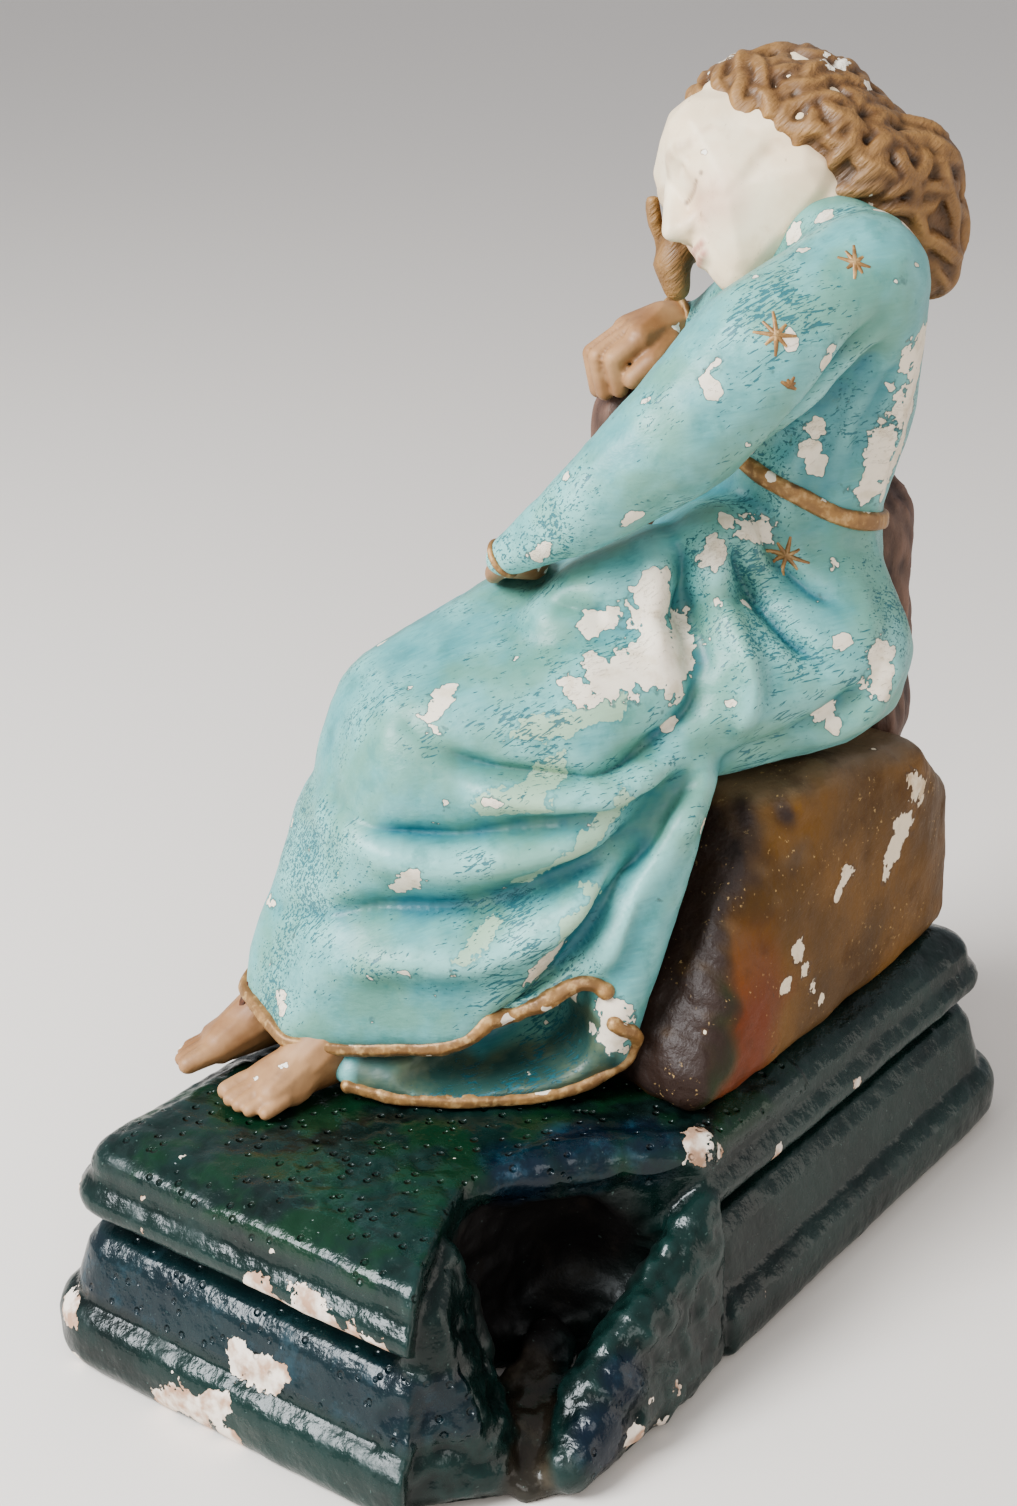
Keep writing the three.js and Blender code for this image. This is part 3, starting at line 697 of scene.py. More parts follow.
def plain_finish(name, first, second, scale, stretch, metallic, rough):
    """Iron, lath and scrim inside the plaster: two tones, streaked or mottled."""
    material, nodes, shader = new_material(name)
    grain = nodes.noise(nodes.mapped(nodes.where(), stretch), scale, 5.0, 0.6)
    nodes.feed(shader["Base Color"], nodes.blend(nodes.step(grain, 0.35, 0.68), first, second))
    nodes.feed(shader["Metallic"], metallic)
    nodes.feed(shader["Roughness"], nodes.maths("ADD", rough, nodes.maths("MULTIPLY", grain, 0.25)))
    bumped(nodes, shader, grain, 0.0006)
    return material


TURQUOISE = gown_paint()
GILT = gilt_paint()
FACE = flesh_paint("ivory_face_paint", colour(228, 206, 174), colour(240, 224, 196), colour(194, 158, 124), 0.14)
LIMBS = flesh_paint("tan_limb_paint", colour(140, 100, 66), colour(174, 134, 96), colour(92, 64, 42), 0.24)
HAIR = hair_paint()
ROCK = rock_paint()
STUMP = stump_paint()
PLINTH_PAINT = plinth_paint()
IRON = plain_finish("rusted_iron", colour(74, 62, 56), colour(118, 72, 48), 240.0, (1, 1, 0.3), 0.7, 0.4)
LATH = plain_finish("pine_lath", colour(176, 136, 92), colour(206, 170, 122), 140.0, (3, 0.4, 3), 0.0, 0.55)
SCRIM = plain_finish("scrim_and_plaster", colour(196, 184, 160), colour(226, 218, 200), 190.0, (1, 1, 1), 0.0, 0.75)


# ---- gown: torso, both sleeves, lap, shins and the drape that hangs beside them ----
HIP_L, HIP_R = (-2, 22, 236, 38), (-2, -26, 236, 38)
KNEE_L, KNEE_R = (149, 16, 213, 27), (149, -19, 215, 27)
THIGH_L, THIGH_R = (92, 26, 222, 33), (98, -21, 231, 34)
CHEST = (-8, 2, 325, 37)
SHOULDER_L, SHOULDER_R = (-9, 30, 376, 25), (-8, -42, 354, 22)
ELBOW_L, ELBOW_R = (63, 36, 327, 23), (8, -82, 322, 18)
WRIST_L, WRIST_R = (117, 8, 280, 7.5), (17, -74, 342, 8.5)
DRAPE_TOP, DRAPE_HIP = (96, 42, 204, 25), (70, 42, 210, 19)

GOWN = [
    [HIP_L, HIP_R, (2, 0, 266, 35)],
    [(0, 0, 262, 36), (-3, 0, 292, 32)],
    [(-3, 0, 290, 32), CHEST],
    [(96, 12, 250, 18), (84, 14, 262, 17), (60, 16, 268, 18), (38, 16, 277, 19), (20, 0, 264, 32), (60, -22, 254, 22)],
    [CHEST, (-9, -4, 360, 26), SHOULDER_L, SHOULDER_R],
    [(-9, -4, 360, 26), (-10, -2, 384, 20), (-14, 24, 380, 20), (-10, -30, 366, 20)],
    [HIP_L, HIP_R, THIGH_L, THIGH_R],
    [THIGH_L, THIGH_R, KNEE_L, KNEE_R],
    [KNEE_L, KNEE_R, (188, 22, 128, 16), (196, -10, 128, 16)],
    [(188, 22, 128, 16), (196, -10, 128, 16), (203, 24, 112, 7), (209, -6, 115, 7), (190, -26, 112, 9)],
    [KNEE_L, (188, 22, 128, 16), (203, 24, 112, 7), (180, 38, 116, 9), (152, 52, 120, 10), DRAPE_TOP],
    [DRAPE_TOP, DRAPE_HIP, (152, 52, 120, 10), (130, 58, 128, 10), (112, 61, 142, 9), (98, 60, 150, 12)],
    [KNEE_R, THIGH_R, (184, -26, 116, 12), (150, -34, 120, 16), (96, -36, 190, 24)],
]
PIPE = [(60, 50, 208, 12), (70, 57, 184, 12), (82, 63, 154, 12), (93, 67, 124, 11.5), (96, 68, 108, 9)]
UNDER_LAYER = [
    [(186, 36, 97, 7), (168, 49, 95, 6), (150, 57, 95, 6), (150, 14, 100, 16), (184, 14, 100, 12)],
    [(150, 57, 95, 6), (124, 63, 95, 6), (106, 64, 98, 7), (96, 66, 108, 8), (150, 14, 100, 16),
     (104, 30, 118, 18), (92, 50, 124, 12)],
]
MOUTH = [(113, 80, 119, 13), (113, 80, 107, 9), (129, 79, 106, 10.5), (150, 71, 101, 8.5), (175, 58, 99, 5),
         (116, 46, 116, 11), (132, 42, 107, 9), (150, 44, 101, 6)]

# Folds as they run on the near side: (forward, up) points, width and height. Below nought is a valley.
NEAR_FOLDS = [
    ([(160, 230), (150, 222), (128, 216), (90, 217), (62, 234), (56, 262)], 5.5, -4.5),
    ([(150, 212), (126, 205), (92, 206), (66, 216)], 8, 3.0),
    ([(192, 206), (178, 194), (150, 192), (118, 196), (88, 202), (64, 208)], 6, -4.2),
    ([(190, 190), (160, 182), (128, 184), (96, 193)], 9, 3.2),
    ([(203, 150), (190, 160), (172, 164), (145, 166), (118, 175), (92, 188), (68, 206)], 6.5, -5.5),
    ([(196, 138), (170, 146), (142, 148), (116, 160), (92, 178)], 9, 3.4),
    ([(152, 109), (136, 122), (116, 142), (98, 164), (70, 204)], 5.5, -5.0),
    ([(133, 119), (118, 137), (102, 156), (84, 180)], 4.5, 3.0),
    ([(119, 139), (106, 158), (90, 180), (68, 204)], 3.6, -4.0),
    ([(104, 137), (93, 158), (78, 182), (56, 206)], 6, 3.2),
    ([(58, 296), (56, 272), (58, 240)], 4.5, -4.0),
    ([(66, 290), (68, 268), (72, 246)], 6, 2.2),
    ([(37, 288), (33, 272), (24, 256), (12, 244)], 4, -3.6),
    ([(46, 286), (44, 266), (40, 240), (46, 218)], 6, 2.4),
    ([(24, 290), (16, 272), (2, 262)], 4, -2.4),
    ([(84, 262), (104, 266), (122, 258)], 4, -2.4),
    ([(-4, 368), (16, 344), (36, 320), (56, 300)], 5.0, -5.0),
    ([(-10, 356), (8, 332), (26, 308)], 10, -1.6),
    ([(-10, 360), (-2, 344), (16, 326)], 6, -2.0),
    ([(-20, 352), (-12, 330), (-6, 306)], 6, -2.0),
    ([(6, 346), (2, 326), (10, 306)], 5, -1.8),
    ([(-26, 330), (-20, 308), (-22, 290)], 5, 1.4),
    ([(-10, 238), (10, 222), (34, 212), (52, 210)], 6, -2.4),
    ([(-22, 246), (-8, 222), (14, 208)], 7, 1.8),
]
FAR_FOLDS = [
    ([(166, 228), (140, 216), (100, 214), (66, 232)], 7, -4.0),
    ([(188, 196), (150, 186), (112, 190), (78, 206)], 8, -4.2),
    ([(198, 152), (164, 158), (128, 168), (92, 186)], 8, -4.5),
    ([(186, 178), (150, 172), (116, 178)], 9, 3.0),
    ([(176, 118), (140, 138), (100, 160), (66, 190)], 7, -4.0),
    ([(54, 290), (46, 262), (52, 234)], 5, -3.5),
    ([(26, 288), (14, 264), (6, 244)], 5, -3.0),
]


def sculpt_gown():
    bm = bmesh.new()
    for balls in GOWN + UNDER_LAYER:
        add_hull(bm, balls, at)
    add_chain(bm, PIPE, at)
    add_chain(bm, [SHOULDER_L, (28, 34, 355, 28), ELBOW_L, (92, 25, 301, 16), WRIST_L], at)
    add_chain(bm, [SHOULDER_R, ELBOW_R, WRIST_R], at)
    gown = fuse(as_object("painted_gown", bm), 2.0, 3)
    bm = bmesh.new()
    add_hull(bm, MOUTH, at)
    carve(gown, as_object("mouth_cutter", bm))
    fuse(gown, 1.66, 4)
    skin = Skin(gown)
    skin.smooth(4)
    tree = skin.tree()
    for folds, side in ((NEAR_FOLDS, 1), (FAR_FOLDS, -1)):
        for points, width, height in folds:
            stroke(skin, draped(tree, points, side), width * 0.85, height * 2.1)
    skin.smooth(2)
    skin.push(0.5 * skin.wobble(24, 3) + 0.22 * skin.wobble(7, 5))
    return skin


gown_skin = sculpt_gown()


def shaded(skin, depth=1.6, rounds=14, broad=0, least=0):
    """Store where the skin is hollow, for painted shade, and where it stands proud, for a painted highlight, in detail
    and over a wider reach.
    """
    hollow = skin.hollows(rounds) / depth
    if broad:
        hollow = 0.6 * hollow + 0.6 * skin.hollows(broad) / (depth * 2.6)
    # least lifts the hollow value, and with it the painted shade, where another part casts a shadow.
    skin.store("hollow", np.maximum(np.clip(hollow, 0, 1), least))
    skin.store("ridge_highlight", np.clip(-hollow, 0, 1))


def marked(skin, marks, side=1):
    """A field that is 1 along each mark, and falls below 0 outside its radius."""
    field = np.full(len(skin.co), -1.0)
    tree = skin.tree()
    for points, radius in marks:
        path = draped(tree, points, side)
        if path:
            field = np.maximum(field, 1 - distance_to(path, skin.co)[0] / radius)
    return np.clip(field, -1, 1)


GOWN_LOSSES = [
    ([(66, 270), (72, 262), (74, 254)], 8), ([(92, 246), (80, 246), (66, 248)], 8), ([(58, 256), (64, 246)], 6),
    ([(92, 258), (84, 260)], 4), ([(104, 244), (102, 240)], 4), ([(30, 288), (24, 284)], 5),
    ([(44, 284), (48, 281)], 4), ([(-29, 352), (-29, 328), (-23, 304)], 9), ([(-19, 320), (-15, 302)], 6), ([(-22, 350), (-22, 346)], 3.5),
    ([(-12, 246), (-10, 232)], 5), ([(6, 226), (9, 224)], 3), ([(147, 238), (150, 234)], 4),
    ([(166, 178), (167, 172)], 4), ([(98, 128), (97, 116)], 6), ([(124, 142), (116, 150)], 5),
    ([(60, 352), (58, 349)], 3), ([(110, 285), (108, 288)], 3), ([(84, 300), (80, 303)], 2.5),
]
GOWN_OLDER = [
    ([(122, 229), (112, 231), (104, 233)], 5), ([(136, 206), (124, 210), (112, 214)], 6),
    ([(104, 192), (98, 198), (92, 204)], 5), ([(126, 177), (114, 184)], 5), ([(112, 160), (104, 170)], 5),
    ([(98, 236), (90, 238)], 4), ([(150, 152), (138, 160)], 4),
]


def gown():
    skin = gown_skin
    # Painted shadow that the near arm casts on the bodice, laid in as a lowest hollow value.
    arm_cast_shadow = fielded(skin, [(-6, 34, 330, 22), (8, 34, 311, 18), (-14, 30, 350, 14), (24, 32, 301, 12)], at)
    shaded(skin, 1.15, 12, 70, np.clip(arm_cast_shadow * 1.6, 0, 0.6))
    skin.store("loss", marked(skin, GOWN_LOSSES))
    skin.store("older", marked(skin, GOWN_OLDER))
    # Where the inside of the hem's opening gets its painted shade.
    skin.store("hem_opening_shade", np.clip(fielded(skin, [(110, 66, 108, 22), (130, 60, 102, 22), (152, 52, 98, 20),
                                                (174, 44, 97, 15)], at) * 4, 0, 1))
    finish_piece(skin.piece, TURQUOISE, "turquoise",
                 "gown_skirt", "gown_train", "gown_bodice", "left_sleeve", "right_sleeve")


gown()
GOWN_TREE = gown_skin.tree()


def trim(name, paths, radius, material, slot, *nodes):
    """A rolled band laid along the gown's edge."""
    bm = bmesh.new()
    for points, lift in paths:
        path = [Vector(p) * MM for p in snapped(GOWN_TREE, points, lift)]
        count = len(path) - 1
        add_strands(bm, [[(p, radius * (0.94 + 0.05 * math.sin(k * 0.4) + 0.03 * math.sin(k * 1.3)))
                          for k, p in enumerate(path)]])
        for end in (path[0], path[count]):
            bmesh.ops.create_icosphere(bm, subdivisions=2, radius=radius * MM, matrix=Matrix.Translation(end))
    piece = fuse(as_object(name, bm), 0.8, 3)
    skin = Skin(piece)
    skin.push(0.3 * skin.wobble(11, 4))
    return finish_piece(piece, material, slot, *nodes)


UPPER_HEM = [(196, -40, 116), (206, -20, 117), (214, 2, 113), (205, 26, 110), (180, 44, 108), (151, 61, 112),
             (133, 67, 118), (120, 70, 130), (108, 71, 137), (99, 72, 134)]
LOWER_HEM = [(95, 72, 122), (91, 70, 112), (97, 70, 100), (108, 70, 94), (125, 68, 90), (150, 60, 90),
             (170, 50, 92), (186, 38, 96)]
trim("gilt_upper_hem", [(UPPER_HEM, 0.4)], 3.7, GILT, "gilt", "upper_hem")
trim("gilt_lower_hem", [(LOWER_HEM, 0.2)], 3.2, GILT, "gilt", "lower_hem")


def belt_path():
    """A ring round the waist that dips towards the back, found from outside."""
    path = []
    for step in range(73):
        turn = math.tau * step / 72
        out = FORWARD * math.cos(turn) + LEFT * math.sin(turn)
        height = 296 + 15 * math.cos(turn)
        middle = at(6, 0, height) / MM
        hit = GOWN_TREE.ray_cast(middle, out)[0]
        path.append(middle + out * min((hit - middle).length + 0.4, 48))
    return path


def belt():
    bm = bmesh.new()
    path = belt_path()
    for shift in (1.6, 0, -1.6):
        add_strands(bm, [[((spot + UP * (shift + 0.5 * math.sin(k * 0.5))) * MM, 2.2 + 0.15 * math.sin(k * 0.8))
                          for k, spot in enumerate(path)]])
    finish_piece(fuse(as_object("gilt_belt", bm), 0.8, 3), GILT, "gilt", "belt")


belt()


def ring_round(name, middle, axis, radius, thick, node):
    """A narrow band round a wrist."""
    bm = bmesh.new()
    turn = axis.to_track_quat("Z", "Y").to_matrix().to_4x4()
    loop = []
    for step in range(41):
        angle = math.tau * step / 40
        loop.append((middle + turn @ Vector((math.cos(angle), math.sin(angle), 0)) * (radius * MM), thick))
    add_strands(bm, [loop])
    finish_piece(fuse(as_object(name, bm), 0.7, 2), GILT, "gilt", node)


ring_round("gilt_left_cuff", at(117, 8, 280), (at(124, -1, 272) - at(110, 13, 286)).normalized(), 6.6, 1.5,
           "left_cuff")
ring_round("gilt_right_cuff", at(19, -73, 342), (at(29, -72, 343) - at(9, -76, 341)).normalized(), 9.2, 1.8,
           "right_cuff")


def star(strands, forward, up, size, turn, worn=0):
    """Crossed brush strokes of gilt, following the cloth."""
    centre = draped(GOWN_TREE, [(forward, up), (forward + 0.1, up)], 1)
    if not centre:
        return
    for ray in range(8 - worn):
        angle = turn + ray * math.tau / 8
        long = size * (1.0 if ray % 2 == 0 else 0.72)
        reach = [(forward + math.cos(angle) * long * k / 4, up + math.sin(angle) * long * k / 4) for k in range(5)]
        path = []
        for k, (f, u) in enumerate(reach):
            hit, normal, _, _ = GOWN_TREE.ray_cast(at(f, 200, u) / MM, -LEFT)
            if hit:
                path.append(((hit - normal * 0.5) * MM, 1.3 - 0.14 * k))
        if len(path) > 2:
            strands.append(path)


def stars():
    bm = bmesh.new()
    strands = []
    star(strands, 4, 387, 5.2, 0.3)
    star(strands, 36, 366, 7, 0.1)
    star(strands, 32, 349, 3.5, 0.5, 3)
    star(strands, 15, 277, 7, 0.25)
    add_strands(bm, strands)
    finish_piece(as_object("gilt_stars", bm), GILT, "gilt")


stars()


# ---- sleeping head and neck ----
HEAD_MASSES = [
    [(-8, 0, 8, 38), (6, 0, 10, 34)],
    [(4, 0, 8, 33), (22, 10, 14, 20), (22, -10, 14, 20), (23, 16, -8, 14), (23, -16, -8, 14)],
    [(0, 18, -14, 16), (0, -18, -14, 16), (23, 14, -12, 14), (23, -14, -12, 14), (25, 5, -30, 10),
     (25, -5, -30, 10), (20, 0, -14, 20)],
    [(25, 0, -14, 15), (30, 0, -24, 10.5), (28, 0, -34, 9)],
    [(38, 0, 6, 4.6), (46, 0, -11, 3.9), (38, 0, -13, 5)],
    [(40, 4.2, -12.5, 3.4), (36, 7, -12, 3.5)],
    [(40, -4.2, -12.5, 3.4), (36, -7, -12, 3.5)],
    [(32.5, 11, -0.5, 6.6), (31.5, 15, -0.5, 6.2)],
    [(32.5, -11, -0.5, 6.6), (31.5, -15, -0.5, 6.2)],
    [(39.6, 0, -21.4, 2.6), (37.8, 5.5, -22.2, 1.9)],
    [(39.6, 0, -21.4, 2.6), (37.8, -5.5, -22.2, 1.9)],
    [(38.8, 3, -24.8, 2.6), (38.8, -3, -24.8, 2.6)],
]
FACE_LINES = [
    ([(38, 5, -4), (37, 9, -4.6), (36, 14, -4.8), (32, 20, -3.2)], 1.0, -1.2),
    ([(38, -5, -4), (37, -9, -4.6), (36, -14, -4.8), (32, -20, -3.2)], 1.0, -1.2),
    ([(38, 6, 4), (36, 12, 6), (31, 20, 4)], 2.0, -1.2),
    ([(38, -6, 4), (36, -12, 6), (31, -20, 4)], 2.0, -1.2),
    ([(40, 5, 9), (39, 12, 12), (33, 21, 9)], 2.4, 0.9),
    ([(40, -5, 9), (39, -12, 12), (33, -21, 9)], 2.4, 0.9),
    ([(39, 7.5, -23.2), (41, 0, -23.0), (39, -7.5, -23.2)], 0.9, -1.3),
    ([(38, 6, -29), (38, -6, -29)], 2.2, -0.9),
    ([(39, 8.5, -12), (36, 13, -19)], 1.6, -0.7),
    ([(39, -8.5, -12), (36, -13, -19)], 1.6, -0.7),
]


def head():
    bm = bmesh.new()
    for balls in HEAD_MASSES:
        add_hull(bm, balls, on_head)
    add_chain(bm, [(-15, -14, 396, 21), (-12, -8, 380, 22), (-11, -2, 364, 22)], at)
    piece = fuse(as_object("sleeping_head", bm), 0.85, 8)
    skin = Skin(piece)
    skin.smooth(3)
    tree = skin.tree()
    for points, width, height in FACE_LINES:
        stroke(skin, snapped(tree, points, 0, on_head), width, height, 0.3)
    skin.smooth(1)
    shaded(skin, 0.9, 8)
    places = {
        "lash": ([FACE_LINES[0][0], FACE_LINES[1][0]], 1.1),
        "brow": ([FACE_LINES[4][0], FACE_LINES[5][0]], 2.2),
        "lips": ([[(39, 5.5, -22), (41, 0, -21.6), (39, -5.5, -22)], [(39, 4, -25), (40, 0, -25.4), (39, -4, -25)]],
                 2.2),
        "blush": ([[(34, 15, -13), (30, 20, -14)], [(34, -15, -13), (30, -20, -14)]], 11),
    }
    for name, (paths, radius) in places.items():
        field = np.zeros(len(skin.co))
        for points in paths:
            gap = distance_to(snapped(tree, points, 0, on_head), skin.co)[0]
            field = np.maximum(field, np.clip(1.3 - gap / radius, 0, 1))
        skin.store(name, field)
    skin.store("loss", np.full(len(skin.co), -1.0))
    finish_piece(piece, FACE, "flesh", "head", "neck")


head()


# ---- curled hair ----
def hair_mass():
    """The mass under the curls: a cap over the skull and a heavy fall behind the neck and shoulder."""
    bm = bmesh.new()
    add_hull(bm, [(-10, 0, 7, 36.5), (-3, 0, 14, 33), (-17, 0, -4, 30)], on_head)
    add_hull(bm, [(-20, 0, -4, 31), (-24, 12, -16, 22), (-12, 24, -2, 15), (-30, 0, -20, 22)], on_head)
    add_hull(bm, [(-45, -14, 404, 20), (-53, -14, 386, 16), (-53, -8, 371, 11), (-29, -10, 404, 18)], at)
    add_chain(bm, [(10, -62, 386, 9), (19, -65, 377, 8.5), (25, -63, 367, 7.5), (24, -60, 358, 5.5)], at)
    return fuse(as_object("curled_hair", bm), 1.5, 3)


def hair_floor(turn):
    """How low the hair comes, in degrees up, at each turn from the brow to the nape."""
    turn = abs((turn + 180) % 360 - 180)
    return 46 - 58 * min(1, max(0, (turn - 20) / 55)) - 42 * min(1, max(0, (turn - 75) / 60))


class Scalp:
    """Finds places on the hair's mass from degrees round from the brow, and degrees up."""

    def __init__(self, skin):
        self.tree = skin.tree()
        self.middle = on_head(-8, 0, 4) / MM

    def at(self, turn, rise, lift):
        turn, rise = math.radians(turn), math.radians(rise)
        ahead, aside = math.cos(turn) * math.cos(rise), math.sin(turn) * math.cos(rise)
        out = (HEAD_FORWARD * ahead + HEAD_LEFT * aside + HEAD_UP * math.sin(rise)).normalized()
        way = FORWARD * out.x + LEFT * out.y + UP * out.z
        hit, normal, _, _ = self.tree.ray_cast(self.middle + way * 150, -way)
        return (hit + normal * lift) if hit else None


def strand(points, thick, tip=0.45):
    path = curve_points(points, 1.6)
    count = len(path) - 1
    return [(Vector(p) * MM, thick * (tip + (1 - tip) * math.sin(math.pi * min(1, 0.15 + k / count) ** 0.8)))
            for k, p in enumerate(path)]


def combed_locks(scalp, chance):
    """Waved locks drawn back from the brow to the parting."""
    locks = []
    for turn in range(-72, 78, 8):
        low = hair_floor(turn) + 2
        points = []
        for k in range(8):
            sway = 6 * math.sin(k * 1.5 + turn * 0.3) * (1 - k / 8)
            points.append(scalp.at(turn * (1 - 0.1 * k / 7) + sway, low + (88 - low) * k / 7,
                                   0.8 + 1.3 * math.sin(k * 1.6 + turn)))
        locks.append(strand([p for p in points if p], 3.6 + chance.random() * 0.8))
    return locks


def comma_locks(scalp, chance):
    """Locks that run down and back, then turn in on themselves."""
    locks = []
    for row, rise in enumerate(range(-60, 86, 13)):
        around = max(3, round(296 * math.cos(math.radians(rise)) / 14))
        for k in range(around):
            turn = 64 + 236 * (k + 0.5 * (row % 2)) / around + chance.uniform(-3, 3)
            if rise < hair_floor(turn) - 4:
                continue
            spin = 1 if (k + row) % 2 else -1
            heading = math.radians(chance.uniform(-108, -72))
            here, up = turn, rise + 7
            points = []
            for j in range(15):
                t = j / 14
                points.append(scalp.at(here, up, -1.5 + 2.2 * math.sin(math.pi * min(1, t * 1.1))))
                bend = heading + spin * (1.0 * math.sin(5.0 * t) + 4.2 * t ** 3)
                pace = 2.4 * (1 - 0.45 * t)
                here += math.degrees(pace / 44) * math.cos(bend) / max(0.4, math.cos(math.radians(up)))
                up += math.degrees(pace / 44) * math.sin(bend)
            points = [p for p in points if p]
            if len(points) > 5:
                locks.append(strand(points, chance.uniform(3.3, 4.3), 0.5))
    return locks


def hair():
    chance = random.Random(7)
    mass = hair_mass()
    scalp = Scalp(Skin(mass))
    bm = bmesh.new()
    bm.from_mesh(mass.data)
    side = [strand([at(f + 2 * math.sin(k * 1.7 + b), b, 392 - 9 * k) / MM for k in range(4)], 3.2)
            for f, b in ((14, -70), (20, -66), (26, -60), (30, -68))]
    add_strands(bm, combed_locks(scalp, chance) + comma_locks(scalp, chance) + side)
    bpy.data.objects.remove(mass)
    piece = fuse(as_object("curled_hair", bm), 0.95, 4)
    skin = Skin(piece)
    shaded(skin, 0.7, 8, 40)
    skin.store("loss", fielded(skin, [(2, 14, 44, 7), (-6, 20, 44, 5), (-26, 34, 24, 5), (-34, 30, 10, 3)], on_head))
    finish_piece(piece, HAIR, "hair", "hair_cap", "side_curls")


hair()


# ---- hands and feet ----
def limb(name, hulls, chains, creases, *nodes):
    bm = bmesh.new()
    for balls in hulls:
        add_hull(bm, balls, at)
    for balls in chains:
        add_chain(bm, balls, at)
    piece = fuse(as_object(name, bm), 0.8, 3)
    skin = Skin(piece)
    tree = skin.tree()
    for points, width, height in creases:
        stroke(skin, snapped(tree, points), width, height)
    shaded(skin, 0.9, 8)
    skin.store("loss", np.full(len(skin.co), -1.0))
    return finish_piece(piece, LIMBS, "flesh", *nodes)


def fingers(knuckles, middles, tips, thick):
    """Four fingers from knuckle to tip, each with a slight bend."""
    return [[(*k, thick), (*m, thick * 0.92), (*t, thick * 0.78)] for k, m, t in zip(knuckles, middles, tips)]


limb("curled_right_hand",
     [[(13, -73, 342, 8), (25, -72, 343, 8), (37, -77, 339, 6.5), (38, -62, 339, 6.5), (33, -70, 331, 8)]],
     fingers([(39, -78, 338), (41, -73, 339), (41, -67, 339), (39, -61, 338)],
             [(50, -79, 331), (53, -73, 332), (53, -67, 332), (49, -61, 332)],
             [(48, -77, 319), (51, -72, 318), (50, -67, 318), (46, -62, 320)], 4.8)
     + [[(26, -62, 337, 6), (35, -56, 331, 5.2), (43, -56, 325, 4.2)]],
     [([(40, -70, 344), (51, -70.5, 337), (55, -70, 327)], 1.0, -1.1),
      ([(40, -64, 344), (50, -64, 337), (53, -64.5, 327)], 1.0, -1.1),
      ([(40, -76, 344), (50, -77, 337), (54, -76, 327)], 1.0, -1.1)], "right_hand", "right_wrist_pin")
limb("resting_left_hand",
     [[(113, 8, 280, 6), (110, -2, 275, 6.5), (106, -12, 272, 6.5), (100, -8, 271, 6)]],
     fingers([(110, -14, 270), (105, -16, 271), (100, -16, 271), (95, -14, 270)],
             [(108, -25, 266), (103, -27, 267), (98, -27, 267), (92, -24, 267)],
             [(106, -35, 258), (101, -37, 258), (96, -36, 259), (91, -33, 260)], 3.9)
     + [[(114, 2, 276, 4.6), (114, -10, 269, 4), (112, -18, 265, 3.4)]], [], "left_hand",
     "left_wrist_pin")
limb("near_foot",
     [[(188, 26, 110, 12), (186, 26, 97, 8), (202, 30, 100, 10), (212, 32, 95, 8.5)],
      [(202, 30, 100, 10), (217, 28, 95, 7), (217, 39, 94, 6), (208, 36, 94, 7)]],
     [[(216, 26.5, 95.5, 5), (225, 26, 93.5, 4.2), (231, 27, 92, 3.8)],
      [(217, 31, 95.5, 4), (226, 32, 93, 3.4), (231, 33, 91.6, 3)],
      [(217, 35, 95, 3.8), (225, 37, 92.6, 3.2), (229, 38, 91.4, 2.8)],
      [(216, 39, 94, 3.6), (222, 41, 92, 3.1), (226, 42, 91, 2.7)],
      [(213, 42, 93, 3.4), (218, 44.5, 91.5, 2.9), (221, 46, 90.8, 2.5)]],
     [], "left_foot")
limb("far_foot",
     [[(196, -10, 112, 12), (194, -10, 98, 8), (212, -6, 101, 10), (224, -4, 96, 8.5)],
      [(212, -6, 101, 10), (228, 0, 95.5, 7), (227, -10, 94.5, 6), (218, -10, 95, 7)]],
     [[(227, 2, 96, 5), (236, 4, 94, 4.2), (241, 4.5, 92.4, 3.8)],
      [(228, -2.5, 96, 4), (237, -1.5, 93.5, 3.4), (242, -1, 92, 3)],
      [(227, -7, 95.5, 3.8), (236, -6.5, 93, 3.2), (240, -6.5, 91.7, 2.8)],
      [(226, -11, 94.5, 3.6), (233, -11, 92.5, 3.1), (237, -11.5, 91.2, 2.7)]],
     [], "right_foot")


